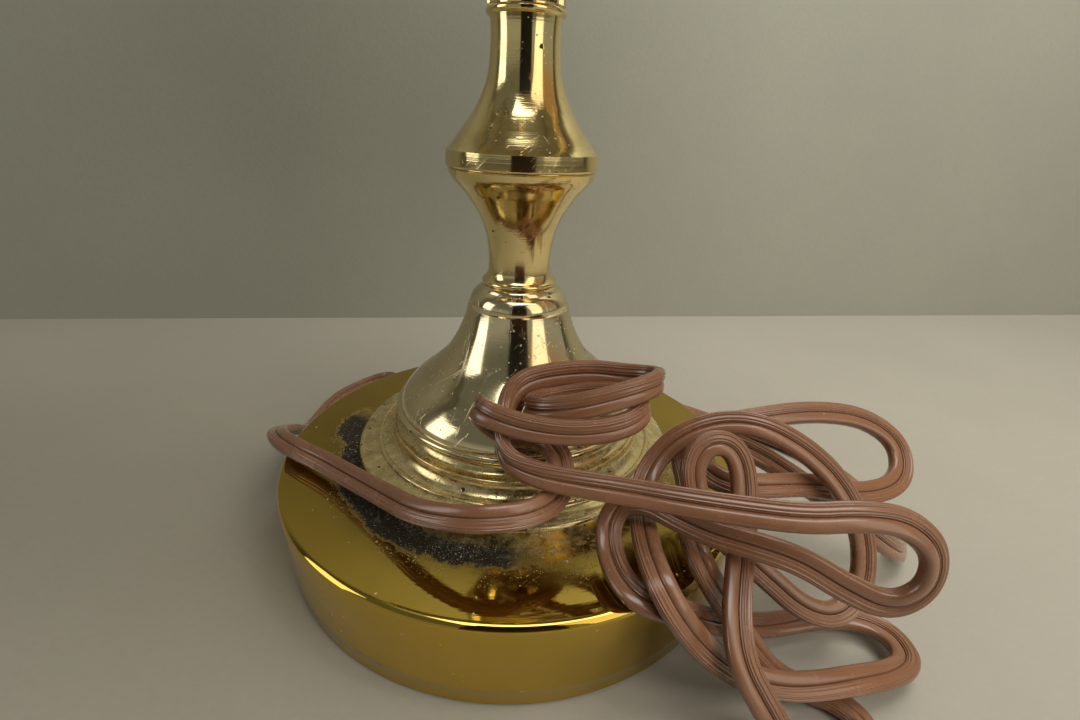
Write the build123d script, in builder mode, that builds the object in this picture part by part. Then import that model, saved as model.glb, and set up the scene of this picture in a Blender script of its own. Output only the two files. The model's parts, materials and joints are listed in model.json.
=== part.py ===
from build123d import *
import os
from math import cos, pi, radians, sin, sqrt, tan

# Bankers lamp, millimetres.
# The origin is the centre of the base on the table, +Z is up and the front is -Y.
os.makedirs("parts", exist_ok=True)

# Base
base_radius = 75.0
base_taper = 2.1
base_height = 28.3
base_edge_round = 3.0
shell_wall = 1.2
shell_lift = 0.8
pad_thickness = 2.0
pad_inset = 1.0
weight_gap = 0.4
pocket_radius = 17.0
pocket_depth = 16.0
channel_width = 10.0

# Lamp pipe that clamps the stem together
pipe_radius = 5.15
pipe_bore_radius = 3.6
pipe_clearance = 0.15
nut_across_flats = 16.0
nut_thickness = 5.0
washer_radius = 13.0
washer_thickness = 1.5
pipe_tail = 2.0
pipe_head = 7.0

# Stem, from the base up
foot_radius = 50.3
foot_band = 6.3
foot_wall = 1.6
edge_ring_radius = 43.6
edge_ring_rise = 8.2
foot_rise = 16.3
foot_top_radius = 35.8
bell_lip_radius = 38.1
bell_lip_bead = 1.1
bell_wall = 1.5
bell_rise = 40.8
lower_spindle_rise = 32.2
lower_spindle_waist = 9.2
lower_spindle_top = 20.6
upper_spindle_rise = 37.9
band_radius = 21.0
band_rise = 4.6
neck_radius = 9.0
neck_bead = 1.0
reed_radius = 9.7
reed_depth = 0.35
reed_count = 72
collar_rise = 8.0
vase_rise = 50.5
vase_belly = 9.6
vase_waist = 7.2
vase_cup_radius = 13.0

# Yoke and its pivots
hub_radius = 12.0
hub_thickness = 6.0
arm_radius = 3.0
arm_bend = 22.0
bulb_headroom = 15.2
boss_radius = 6.5
boss_length = 8.0
pivot_radius = 2.5
running_clearance = 0.05
washer_gap = 0.2
fibre_thickness = 1.5
fibre_radius = 7.0
thumb_radius = 8.0
thumb_length = 9.5
thumb_flutes = 18
flute_radius = 0.9

# Shade
shade_length = 216.0
shade_depth = 132.0
shade_drop = 36.0
shade_rise = 70.0
shade_lip = 12.0
shade_corner = 20.0
shade_crown_half = 24.0
glass_wall = 4.0
ferrule_radius = 4.0
ferrule_clearance = 0.15
ferrule_flange_radius = 7.5
ferrule_flange = 1.2
ring_nut_radius = 7.0
ring_nut_thickness = 2.4

# Socket
cap_rise = 22.0
cap_wall = 0.8
cap_neck_radius = 8.5
cap_neck_rise = 3.0
cap_floor = 5.0
dome_draw = 3.4
socket_shell_radius = 17.1
socket_shell_wall = 0.7
socket_top = 62.0
liner_wall = 0.8
fit_gap = 0.1
shell_overlap = 5.5
core_lift = 1.5
core_rise = 20.0
contact_rise = 1.8
screw_shell_radius = 14.2
screw_shell_wall = 0.6
spout_radius = 3.6
spout_bore = 2.3
spout_reach = 8.4

# Bulb
bulb_cap_radius = 13.1
bulb_length = 89.0
bulb_radius = 24.0
bulb_wall = 0.8
thread_pitch = 3.6

# Pull chain
bead_radius = 1.6
bead_pitch = 4.0
bead_count = 15
link_radius = 0.5
drop_radius = 4.2
drop_length = 14.0

# Heights and radii worked out from the sizes above
cap_radius = socket_shell_radius + fit_gap + cap_wall
base_foot_radius = base_radius - base_taper
foot_top = base_height + foot_rise
bell_top = foot_top + bell_rise
seam_height = bell_top + lower_spindle_rise
collar_base = seam_height + upper_spindle_rise
vase_base = collar_base + collar_rise
hub_base = vase_base + vase_rise
cap_base = hub_base + hub_thickness
pocket_top = pad_thickness + pocket_depth
stem_bore = pipe_radius + pipe_clearance
pipe_bottom = pocket_top - washer_thickness - nut_thickness - pipe_tail
pipe_top = cap_base + pipe_head
shell_bottom = cap_base + cap_rise - shell_overlap
core_bottom = shell_bottom + core_lift
core_top = core_bottom + core_rise
tip_height = core_top + contact_rise
bulb_top = tip_height + bulb_length
pivot_height = bulb_top + bulb_headroom + glass_wall - shade_rise


# The cord leaves through the side wall, low down at the back left.
exit_angle = 128.0
exit_height = 9.0
bushing_radius = 5.5
bushing_seat = 60.0
exit_plane = Plane(
    origin=(0, 0, exit_height),
    x_dir=(-sin(radians(exit_angle)), cos(radians(exit_angle)), 0),
    z_dir=(cos(radians(exit_angle)), sin(radians(exit_angle)), 0),
)


# Base: spun brass cover, cast weight and felt pad
weight_top = base_height - shell_wall

with BuildPart() as base_shell:
    with BuildSketch(Plane.XZ):
        with BuildLine():
            Polyline(
                (stem_bore, base_height),
                (base_radius, base_height),
                (base_foot_radius, shell_lift),
                (base_foot_radius - shell_wall, shell_lift),
                (base_radius - shell_wall, weight_top),
                (stem_bore, weight_top),
                close=True,
            )
        make_face()
    revolve(axis=Axis.Z)
    rims = base_shell.edges().filter_by(GeomType.CIRCLE)
    fillet(rims.sort_by(SortBy.RADIUS)[-1], base_edge_round)
    inner_rims = base_shell.edges().filter_by(GeomType.CIRCLE).filter_by(
        lambda e: abs(e.radius - base_radius + shell_wall) < 0.01
    )
    fillet(inner_rims, base_edge_round - shell_wall)
    with BuildSketch(exit_plane.offset(base_foot_radius / 2)):
        Circle(bushing_radius + fit_gap)
    extrude(amount=base_radius, mode=Mode.SUBTRACT)

with BuildPart() as base_weight:
    with BuildSketch(Plane.XZ):
        with BuildLine():
            Polyline(
                (0, pad_thickness),
                (base_foot_radius - shell_wall - weight_gap, pad_thickness),
                (base_radius - shell_wall - weight_gap - base_edge_round, weight_top),
                (0, weight_top),
                close=True,
            )
        make_face()
    revolve(axis=Axis.Z)
    Hole(stem_bore)
    with BuildSketch(Plane.XY.offset(pad_thickness)):
        Circle(pocket_radius)
    extrude(amount=pocket_depth, mode=Mode.SUBTRACT)
    with BuildSketch(Plane.XY.offset(pad_thickness)) as channel:
        with Locations(Rotation(0, 0, exit_angle)):
            Rectangle(base_radius, channel_width, align=(Align.MIN, Align.CENTER))
    extrude(amount=exit_height + bushing_radius + fit_gap - pad_thickness, mode=Mode.SUBTRACT)
    with BuildSketch(exit_plane.offset(bushing_seat)):
        Circle(bushing_radius + fit_gap)
    extrude(amount=base_radius, mode=Mode.SUBTRACT)

with BuildPart() as felt_pad:
    with BuildSketch(Plane.XY):
        Circle(base_foot_radius - shell_wall - pad_inset)
    extrude(amount=pad_thickness)

# Clamping hardware below the stem
with BuildPart() as lamp_pipe:
    with BuildSketch(Plane.XY.offset(pipe_bottom)):
        Circle(pipe_radius)
        Circle(pipe_bore_radius, mode=Mode.SUBTRACT)
    extrude(amount=pipe_top - pipe_bottom)

with BuildPart() as pipe_washer:
    with BuildSketch(Plane.XY.offset(pocket_top - washer_thickness)):
        Circle(washer_radius)
        Circle(stem_bore, mode=Mode.SUBTRACT)
    extrude(amount=washer_thickness)

with BuildPart() as pipe_nut:
    with BuildSketch(Plane.XY.offset(pocket_top - washer_thickness - nut_thickness)):
        RegularPolygon(nut_across_flats / 2, 6, major_radius=False)
        Circle(stem_bore, mode=Mode.SUBTRACT)
    extrude(amount=nut_thickness)

# Spun foot: upright band, ogee, edge ring, two coves with a ridge between them
band_top = base_height + foot_band
edge_height = base_height + edge_ring_rise
ridge_height = (edge_height + foot_top) / 2
ridge_radius = (edge_ring_radius + foot_top_radius) / 2 - 0.8
with BuildPart() as foot_flange:
    with BuildSketch(Plane.XZ):
        with BuildLine():
            start = (foot_radius - foot_wall, base_height)
            Line(start, (foot_radius, base_height))
            Line((foot_radius, base_height), (foot_radius, band_top - 1.2))
            RadiusArc((foot_radius, band_top - 1.2), (foot_radius - 1.2, band_top), -1.2)
            ogee_end = (edge_ring_radius + 0.9, edge_height - 0.5)
            Spline(
                (foot_radius - 1.2, band_top),
                ((foot_radius + edge_ring_radius) / 2, band_top + 0.7),
                ogee_end,
                tangents=((-1, 0.05), (-1, 0.9)),
            )
            ring_end = (edge_ring_radius - 0.7, edge_height)
            ThreePointArc(ogee_end, (edge_ring_radius + 0.3, edge_height + 0.5), ring_end)
            cove_end = (ridge_radius + 0.5, ridge_height - 0.3)
            ThreePointArc(ring_end, (ridge_radius + 1.5, edge_height + 1.2), cove_end)
            ridge_end = (ridge_radius - 0.4, ridge_height + 0.3)
            ThreePointArc(cove_end, (ridge_radius + 0.4, ridge_height + 0.35), ridge_end)
            shoulder = (foot_top_radius, foot_top)
            ThreePointArc(ridge_end, (foot_top_radius + 0.5, ridge_height + 1.3), shoulder)
            Line(shoulder, (stem_bore, foot_top))
            Line((stem_bore, foot_top), (stem_bore, foot_top - foot_wall))
            Polyline(
                (stem_bore, foot_top - foot_wall),
                (foot_top_radius - foot_wall, foot_top - foot_wall),
                (edge_ring_radius - 2 * foot_wall, edge_height - foot_wall),
                (foot_radius - foot_wall, band_top - foot_wall),
                start,
            )
        make_face()
    revolve(axis=Axis.Z)

# Spun bell with a rolled lip and beads at its top
lip_centre = (bell_lip_radius - bell_lip_bead, foot_top + 0.4 + bell_lip_bead)
bell_collar = 9.9
bell_outline = (
    (bell_lip_radius - 2.6, foot_top + 5.6),
    (bell_lip_radius - 6.2, foot_top + 9.6),
    (bell_lip_radius - 11.2, foot_top + 13.8),
    (bell_lip_radius - 16.1, foot_top + 18.8),
    (bell_lip_radius - 20.4, foot_top + 26.4),
    (bell_lip_radius - 22.8, foot_top + 34.0),
)
with BuildPart() as bell:
    with BuildSketch(Plane.XZ):
        with BuildLine():
            foot_in = (foot_top_radius - 1.8, foot_top)
            foot_out = (foot_top_radius - 0.3, foot_top)
            lip_low = (lip_centre[0], lip_centre[1] - bell_lip_bead)
            lip_high = (lip_centre[0] - 0.3, lip_centre[1] + bell_lip_bead - 0.1)
            Line(foot_in, foot_out)
            Line(foot_out, lip_low)
            ThreePointArc(lip_low, (lip_centre[0] + bell_lip_bead, lip_centre[1]), lip_high)
            Spline(lip_high, *bell_outline, tangents=((-0.1, 1), (-0.2, 1)))
            flank_top = bell_outline[-1]
            shoulder_low = (flank_top[0] - 0.5, flank_top[1] + 0.3)
            shoulder_high = (bell_collar + 1.9, bell_top - 1.6)
            Line(flank_top, shoulder_low)
            ThreePointArc(shoulder_low, (bell_collar + 3.9, bell_top - 3.2), shoulder_high)
            ThreePointArc(shoulder_high, (bell_collar + 1.3, bell_top - 0.6), (bell_collar, bell_top))
            Line((bell_collar, bell_top), (stem_bore, bell_top))
            Line((stem_bore, bell_top), (stem_bore, bell_top - 2 * bell_wall))
            inner_top = (flank_top[0] - bell_wall - 1, flank_top[1])
            inner_roof = bell_top - 2 * bell_wall
            Polyline((stem_bore, inner_roof), (bell_collar, inner_roof), inner_top)
            inside = [(r - bell_wall, z) for r, z in reversed(bell_outline[:-1])]
            Spline(inner_top, *inside, foot_in, tangents=((0.2, -1), (0.15, -1)))
        make_face()
    revolve(axis=Axis.Z)

# Lower spindle: waisted, flaring up to the seam
with BuildPart() as lower_spindle:
    flare = lower_spindle_top - lower_spindle_waist
    with BuildSketch(Plane.XZ):
        with BuildLine():
            low = (lower_spindle_waist + 1.4, bell_top)
            top = (lower_spindle_top, seam_height)
            Line((stem_bore, bell_top), low)
            ThreePointArc(low, (low[0] + 0.5, bell_top + 0.7), (low[0], bell_top + 1.4))
            Spline(
                (low[0], bell_top + 1.4),
                (lower_spindle_waist, bell_top + 0.12 * lower_spindle_rise),
                (lower_spindle_waist + 0.02 * flare, bell_top + 0.36 * lower_spindle_rise),
                (lower_spindle_waist + 0.2 * flare, bell_top + 0.58 * lower_spindle_rise),
                (lower_spindle_waist + 0.56 * flare, bell_top + 0.78 * lower_spindle_rise),
                (lower_spindle_top - 0.4, seam_height - 1.6),
                tangents=((-1, 0.8), (0.45, 1)),
            )
            shoulder = (lower_spindle_top - 0.4, seam_height - 1.6)
            Polyline(shoulder, top, (stem_bore, seam_height), (stem_bore, bell_top))
        make_face()
    revolve(axis=Axis.Z)

# Upper spindle: plain band above the seam, then a concave neck with a bead
with BuildPart() as upper_spindle:
    swell = band_radius - neck_radius
    neck_rise = upper_spindle_rise - band_rise
    band_high = seam_height + band_rise
    with BuildSketch(Plane.XZ):
        with BuildLine():
            Polyline(
                (stem_bore, seam_height),
                (band_radius - 0.4, seam_height),
                (band_radius, seam_height + 0.4),
                (band_radius - 0.1, band_high),
            )
            bead_low = (neck_radius + 0.2, collar_base - 2 * neck_bead - 0.4)
            Spline(
                (band_radius - 0.1, band_high),
                (neck_radius + 0.68 * swell, band_high + 0.13 * neck_rise),
                (neck_radius + 0.34 * swell, band_high + 0.30 * neck_rise),
                (neck_radius + 0.09 * swell, band_high + 0.50 * neck_rise),
                (neck_radius, band_high + 0.72 * neck_rise),
                bead_low,
                tangents=((-0.9, 0.8), (0.15, 1)),
            )
            bead_high = (neck_radius + 0.2, collar_base - 0.4)
            bead_side = (neck_radius + 0.2 + neck_bead, collar_base - neck_bead - 0.4)
            ThreePointArc(bead_low, bead_side, bead_high)
            neck_top = (neck_radius + 0.2, collar_base)
            Polyline(bead_high, neck_top, (stem_bore, collar_base), (stem_bore, seam_height))
        make_face()
    revolve(axis=Axis.Z)

# Reeded collar: a coin edge of fine upright ribs
with BuildPart() as reeded_collar:
    with BuildSketch(Plane.XY.offset(collar_base)):
        with BuildLine():
            reeds = [
                (reed_radius - reed_depth * (i % 2)) * Vector(1, 0).rotate(Axis.Z, 180 * i / reed_count)
                for i in range(2 * reed_count)
            ]
            Polyline(*reeds, close=True)
        make_face()
        Circle(stem_bore, mode=Mode.SUBTRACT)
    extrude(amount=collar_rise)

# Slim vase between the collar and the yoke
with BuildPart() as upper_vase:
    with BuildSketch(Plane.XZ):
        with BuildLine():
            low_bead = (vase_waist + 1.8, vase_base)
            waist_low = (vase_waist + 0.4, vase_base + 0.1 * vase_rise)
            cup_low = (vase_waist + 0.2, vase_base + 0.72 * vase_rise)
            cup_rim = (vase_cup_radius, hub_base - 2.4)
            Line((stem_bore, vase_base), low_bead)
            bead_end = (vase_waist + 1.8, vase_base + 2.4)
            ThreePointArc(low_bead, (vase_waist + 2.6, vase_base + 1.2), bead_end)
            Line((vase_waist + 1.8, vase_base + 2.4), waist_low)
            Spline(
                waist_low,
                (vase_belly, vase_base + 0.3 * vase_rise),
                (vase_waist + 0.9, vase_base + 0.55 * vase_rise),
                cup_low,
                tangents=((0.2, 1), (0, 1)),
            )
            Spline(cup_low, (vase_cup_radius - 3.2, hub_base - 6.2), cup_rim, tangents=((0, 1), (1, 0.25)))
            ThreePointArc(cup_rim, (vase_cup_radius + 0.8, hub_base - 1.2), (vase_cup_radius, hub_base))
            Polyline((vase_cup_radius, hub_base), (stem_bore, hub_base), (stem_bore, vase_base))
        make_face()
    revolve(axis=Axis.Z)

# Yoke: hub, two bent arms and a boss at the end of each
ferrule_face = shade_length / 2 + ferrule_flange
boss_face = ferrule_face + washer_gap + fibre_thickness
arm_x = boss_face + boss_length / 2
hub_middle = hub_base + hub_thickness / 2
with BuildPart() as yoke:
    with BuildSketch(Plane.XY.offset(hub_base)):
        Circle(hub_radius)
    extrude(amount=hub_thickness)
    fillet(yoke.edges().filter_by(GeomType.CIRCLE), 1.2)
    for side in (-1, 1):
        with BuildLine():
            FilletPolyline(
                (side * stem_bore * 1.6, 0, hub_middle),
                (side * arm_x, 0, hub_middle),
                (side * arm_x, 0, pivot_height),
                radius=arm_bend,
            )
        with BuildSketch(Plane.YZ.offset(side * stem_bore * 1.6)):
            with Locations((0, hub_middle)):
                Circle(arm_radius)
        sweep()
        with BuildSketch(Plane.YZ.offset(side * arm_x - boss_length / 2)):
            with Locations((0, pivot_height)):
                Circle(boss_radius)
        extrude(amount=boss_length)
        with BuildSketch(Plane.YZ.offset(side * arm_x - boss_length)):
            with Locations((0, pivot_height)):
                Circle(pivot_radius + running_clearance)
        extrude(amount=2 * boss_length, mode=Mode.SUBTRACT)
    with BuildSketch(Plane.XY.offset(hub_base)):
        Circle(stem_bore)
    extrude(amount=hub_thickness, mode=Mode.SUBTRACT)

# Shade: a glass trough, open below, with upright ends
shade_bottom = pivot_height - shade_drop
shade_height = shade_drop + shade_rise
half_length = shade_length / 2
half_depth = shade_depth / 2
end_round = 34.0
with BuildPart() as shade_glass:
    with BuildSketch(Plane.XY.offset(shade_bottom)):
        RectangleRounded(shade_length, shade_depth, shade_corner)
    extrude(amount=shade_height)
    with BuildSketch(Plane.YZ.offset(-half_length)):
        with BuildLine():
            lip = (half_depth, shade_bottom + shade_lip)
            crown = (shade_crown_half, shade_bottom + shade_height - 4)
            Polyline((0, shade_bottom), (half_depth, shade_bottom), lip)
            ThreePointArc(lip, (half_depth * 0.81, shade_bottom + 0.62 * shade_height), crown)
            ThreePointArc(crown, (0, shade_bottom + shade_height), (-crown[0], crown[1]))
            far_side = (-half_depth * 0.81, shade_bottom + 0.62 * shade_height)
            ThreePointArc((-crown[0], crown[1]), far_side, (-lip[0], lip[1]))
            Polyline((-lip[0], lip[1]), (-half_depth, shade_bottom), (0, shade_bottom))
        make_face()
    extrude(amount=shade_length, mode=Mode.INTERSECT)
    with BuildSketch(Plane.XZ.offset(-half_depth)):
        with Locations((0, shade_bottom)):
            Rectangle(shade_length, shade_height, align=(Align.CENTER, Align.MIN))
        fillet(vertices().group_by(Axis.Y)[-1], end_round)
    extrude(amount=shade_depth, mode=Mode.INTERSECT)
    offset(amount=-glass_wall, openings=shade_glass.faces().sort_by(Axis.Z)[0])
    with BuildSketch(Plane.YZ.offset(-half_length)):
        with Locations((0, pivot_height)):
            Circle(ferrule_radius + ferrule_clearance)
    extrude(amount=shade_length, mode=Mode.SUBTRACT)

pieces = {
    "base_shell": base_shell,
    "base_weight": base_weight,
    "felt_pad": felt_pad,
    "lamp_pipe": lamp_pipe,
    "pipe_washer": pipe_washer,
    "pipe_nut": pipe_nut,
    "foot_flange": foot_flange,
    "bell": bell,
    "lower_spindle": lower_spindle,
    "upper_spindle": upper_spindle,
    "reeded_collar": reeded_collar,
    "upper_vase": upper_vase,
    "yoke": yoke,
    "shade_glass": shade_glass,
}


def pivot_plane(side, reach):
    """A plane across the tilt axis, facing outward on one side."""
    return Plane(origin=(side * reach, 0, pivot_height), x_dir=(0, 1, 0), z_dir=(side, 0, 0))


# Pivot hardware, the same on both sides: ferrule, ring nut, fibre washer, thumbscrew
glass_inside = half_length - glass_wall
ferrule_tail = glass_inside - ring_nut_thickness
head_face = boss_face + boss_length + washer_gap
for hand, side in (("left", -1), ("right", 1)):
    with BuildPart() as ferrule:
        with BuildSketch(pivot_plane(side, ferrule_tail)):
            Circle(ferrule_radius)
        extrude(amount=half_length - ferrule_tail)
        with BuildSketch(pivot_plane(side, half_length)):
            Circle(ferrule_flange_radius)
        extrude(amount=ferrule_flange)
        with BuildSketch(pivot_plane(side, ferrule_tail)):
            Circle(pivot_radius + running_clearance)
        extrude(amount=half_length, mode=Mode.SUBTRACT)
    pieces[f"ferrule_{hand}"] = ferrule

    with BuildPart() as ring_nut:
        with BuildSketch(pivot_plane(side, ferrule_tail)):
            RegularPolygon(ring_nut_radius, 6, major_radius=False)
            Circle(ferrule_radius + ferrule_clearance, mode=Mode.SUBTRACT)
        extrude(amount=ring_nut_thickness)
    pieces[f"ring_nut_{hand}"] = ring_nut

    with BuildPart() as fibre_washer:
        with BuildSketch(pivot_plane(side, boss_face - fibre_thickness)):
            Circle(fibre_radius)
            Circle(pivot_radius + ferrule_clearance, mode=Mode.SUBTRACT)
        extrude(amount=fibre_thickness)
    pieces[f"fibre_washer_{hand}"] = fibre_washer

    with BuildPart() as thumbscrew:
        with BuildSketch(pivot_plane(side, head_face)):
            Circle(thumb_radius)
        extrude(amount=thumb_length)
        fillet(thumbscrew.edges().group_by(Axis.X)[-1 if side > 0 else 0], 1.8)
        with BuildSketch(pivot_plane(side, head_face)):
            with PolarLocations(thumb_radius + 0.2, thumb_flutes):
                Circle(flute_radius)
        extrude(amount=thumb_length, mode=Mode.SUBTRACT)
        with BuildSketch(pivot_plane(side, ferrule_tail)):
            Circle(pivot_radius)
        extrude(amount=head_face - ferrule_tail)
    pieces[f"thumbscrew_{hand}"] = thumbscrew

# Socket: cap, brass shell, paper liner, moulded core
with BuildPart() as socket_cap:
    dome_low = (cap_neck_radius, cap_base + cap_neck_rise)
    dome_high = (cap_radius, cap_base + 0.62 * cap_rise)
    with BuildSketch(Plane.XZ):
        with BuildLine():
            Polyline((stem_bore, cap_base), (cap_neck_radius, cap_base), dome_low)
            ThreePointArc(dome_low, (cap_radius - dome_draw, cap_base + 0.33 * cap_rise), dome_high)
            skirt = cap_base + cap_rise
            inner_high = (cap_radius - cap_wall, dome_high[1])
            inner_low = (cap_neck_radius - cap_wall, cap_base + cap_floor)
            Polyline(dome_high, (cap_radius, skirt), (cap_radius - cap_wall, skirt), inner_high)
            inner_side = (cap_radius - dome_draw - cap_wall, cap_base + 0.33 * cap_rise + 0.9)
            ThreePointArc(inner_high, inner_side, inner_low)
            Polyline(inner_low, (stem_bore, cap_base + cap_floor), (stem_bore, cap_base))
        make_face()
    revolve(axis=Axis.Z)

shell_top = cap_base + socket_top
spout_height = cap_base + cap_rise + spout_radius + 1.4
with BuildPart() as socket_shell:
    with BuildSketch(Plane.XY.offset(shell_bottom)):
        Circle(socket_shell_radius)
    extrude(amount=shell_top - shell_bottom)
    with BuildSketch(Plane.XY.offset(shell_top - 1.6)):
        Circle(socket_shell_radius + 0.7)
    extrude(amount=1.6)
    fillet(socket_shell.edges().filter_by(GeomType.CIRCLE).sort_by(SortBy.RADIUS)[-2:], 0.5)
    with BuildSketch(Plane.XY.offset(shell_bottom)):
        Circle(socket_shell_radius - socket_shell_wall)
    extrude(amount=shell_top - shell_bottom, mode=Mode.SUBTRACT)
    with BuildSketch(Plane.XZ):
        with Locations((0, spout_height)):
            Circle(spout_radius + fit_gap)
    extrude(amount=2 * socket_shell_radius, mode=Mode.SUBTRACT)

liner_radius = socket_shell_radius - socket_shell_wall - fit_gap
with BuildPart() as insulating_liner:
    with BuildSketch(Plane.XY.offset(shell_bottom)):
        Circle(liner_radius)
        Circle(liner_radius - liner_wall, mode=Mode.SUBTRACT)
    extrude(amount=shell_top - shell_bottom + 0.8)
    with BuildSketch(Plane.XZ):
        with Locations((0, spout_height)):
            Circle(spout_radius + fit_gap)
    extrude(amount=2 * socket_shell_radius, mode=Mode.SUBTRACT)

core_radius = liner_radius - liner_wall - fit_gap
lever_slot = 4.0
lever_width = 3.0
lever_axis = (-8.0, core_bottom + 6.0)
pin_radius = 0.8
terminal_x = 10.5
terminal_radius = 1.5
with BuildPart() as socket_core:
    with BuildSketch(Plane.XY.offset(core_bottom)):
        Circle(core_radius)
    extrude(amount=core_rise)
    with BuildSketch(Plane.XY.offset(core_bottom + 3)):
        with Locations((0, -core_radius - 5)):
            Rectangle(lever_slot, core_radius, align=(Align.CENTER, Align.MIN))
    extrude(amount=core_rise - 5, mode=Mode.SUBTRACT)
    with BuildSketch(Plane.YZ.offset(-7)):
        with Locations(lever_axis):
            Circle(pin_radius + running_clearance)
    extrude(amount=14, mode=Mode.SUBTRACT)
    with BuildSketch(Plane.XY.offset(core_bottom)):
        with Locations((-terminal_x, 0), (terminal_x, 0)):
            Circle(terminal_radius)
    extrude(amount=6, mode=Mode.SUBTRACT)

with BuildPart() as lever_pin:
    with BuildSketch(Plane.YZ.offset(-6.5)):
        with Locations(lever_axis):
            Circle(pin_radius)
    extrude(amount=13)

lever_arm = 7.0
with BuildPart() as switch_lever:
    with BuildSketch(Plane.YZ.offset(-lever_width / 2)):
        with Locations(lever_axis):
            Circle(2.0)
            Rectangle(2.2, lever_arm, align=(Align.CENTER, Align.MIN))
        with Locations((lever_axis[0], lever_axis[1] + lever_arm)):
            Circle(1.6)
        with Locations(lever_axis):
            Circle(pin_radius + running_clearance, mode=Mode.SUBTRACT)
    extrude(amount=lever_width)

slot_back = -5.0
with BuildPart() as return_leaf:
    leaf = lever_axis[1] - 2.4
    with BuildSketch(Plane.YZ.offset(-lever_width / 2)):
        with BuildLine():
            Polyline(
                (slot_back, leaf),
                (slot_back, leaf + 2),
                (slot_back - 0.5, leaf + 2.5),
                (slot_back - 1.0, leaf + 9),
                (slot_back - 1.4, leaf + 9),
                (slot_back - 0.9, leaf + 2),
                (slot_back - 0.4, leaf),
                close=True,
            )
        make_face()
    extrude(amount=lever_width)

with BuildPart() as terminal_screws:
    with Locations((-terminal_x, 0, core_bottom), (terminal_x, 0, core_bottom)):
        Cylinder(terminal_radius - fit_gap, 5, align=(Align.CENTER, Align.CENTER, Align.MIN))
        Cylinder(2.8, 1.5, align=(Align.CENTER, Align.CENTER, Align.MAX))
    with Locations((-terminal_x, 0, core_bottom - 1.5), (terminal_x, 0, core_bottom - 1.5)):
        Box(6, 0.7, 0.8, align=(Align.CENTER, Align.CENTER, Align.MIN), mode=Mode.SUBTRACT)

with BuildPart() as screw_shell:
    with BuildSketch(Plane.XZ):
        with BuildLine():
            rim_z = shell_top - 1.0
            Polyline(
                (5.0, core_top),
                (screw_shell_radius, core_top),
                (screw_shell_radius, rim_z),
                (screw_shell_radius - screw_shell_wall, rim_z),
                (screw_shell_radius - screw_shell_wall, core_top + screw_shell_wall),
                (5.0, core_top + screw_shell_wall),
                close=True,
            )
        make_face()
    revolve(axis=Axis.Z)

with BuildPart() as centre_contact:
    with BuildSketch(Plane.XZ.offset(-2)):
        with BuildLine():
            Polyline(
                (-4.0, core_top),
                (3.0, core_top),
                (3.4, core_top + 0.3),
                (-1.5, tip_height - 0.2),
                (-1.8, tip_height - 0.6),
                (2.0, core_top + 0.4),
                (-4.0, core_top + 0.4),
                close=True,
            )
        make_face()
    extrude(amount=4)

# Chain spout: an elbow out of the shell, open downward
chain_y = -(socket_shell_radius + spout_reach)
spout_mouth = spout_height - 6.0
with BuildPart() as chain_spout:
    for radius, mode in ((spout_radius, Mode.ADD), (spout_bore, Mode.SUBTRACT)):
        with BuildLine():
            FilletPolyline(
                (0, -liner_radius + liner_wall, spout_height),
                (0, chain_y, spout_height),
                (0, chain_y, spout_mouth),
                radius=3.8,
            )
        with BuildSketch(Plane.XZ.offset(liner_radius - liner_wall)):
            with Locations((0, spout_height)):
                Circle(radius)
        sweep(mode=mode)
    mouth_edges = chain_spout.edges().filter_by(GeomType.CIRCLE).group_by(Axis.Z)[0]
    fillet(mouth_edges.sort_by(SortBy.RADIUS)[0], 0.6)

# Pull chain: beads on short links, and the drop that the hand takes
top_bead = spout_mouth + bead_radius
chain_length = bead_pitch * (bead_count - 1)
chain_bottom = top_bead - chain_length
with BuildPart() as pull_chain:
    with BuildSketch(Plane.XZ.offset(-chain_y)):
        with Locations((0, chain_bottom - 2 * bead_radius)):
            Rectangle(2 * link_radius, chain_length + 2 * bead_radius, align=(Align.CENTER, Align.MIN))
        with Locations(*[(0, top_bead - bead_pitch * i) for i in range(bead_count)]):
            Circle(bead_radius)
        with Locations((0, chain_bottom - 2 * bead_radius)):
            half = (2 * bead_radius, chain_length + 4 * bead_radius)
            Rectangle(*half, align=(Align.MIN, Align.MIN), mode=Mode.INTERSECT)
    revolve(axis=Axis((0, chain_y, 0), (0, 0, 1)))

drop_top = chain_bottom - bead_radius - 0.3
with BuildPart() as chain_drop:
    with BuildSketch(Plane.XZ.offset(-chain_y)):
        with BuildLine():
            neck = (1.6, drop_top)
            waist = (1.5, drop_top - 0.3 * drop_length)
            skirt_edge = (drop_radius, drop_top - 0.86 * drop_length)
            Polyline((link_radius + 0.2, drop_top), neck)
            Spline(neck, waist, skirt_edge, tangents=((-0.2, -1), (0.6, -1)))
            Polyline(skirt_edge, (drop_radius - 0.8, drop_top - drop_length), (0, drop_top - drop_length))
            Polyline((0, drop_top - drop_length), (0, drop_top - 3), (link_radius + 0.2, drop_top - 3))
            Line((link_radius + 0.2, drop_top - 3), (link_radius + 0.2, drop_top))
        make_face()
    revolve(axis=Axis((0, chain_y, 0), (0, 0, 1)))

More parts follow.
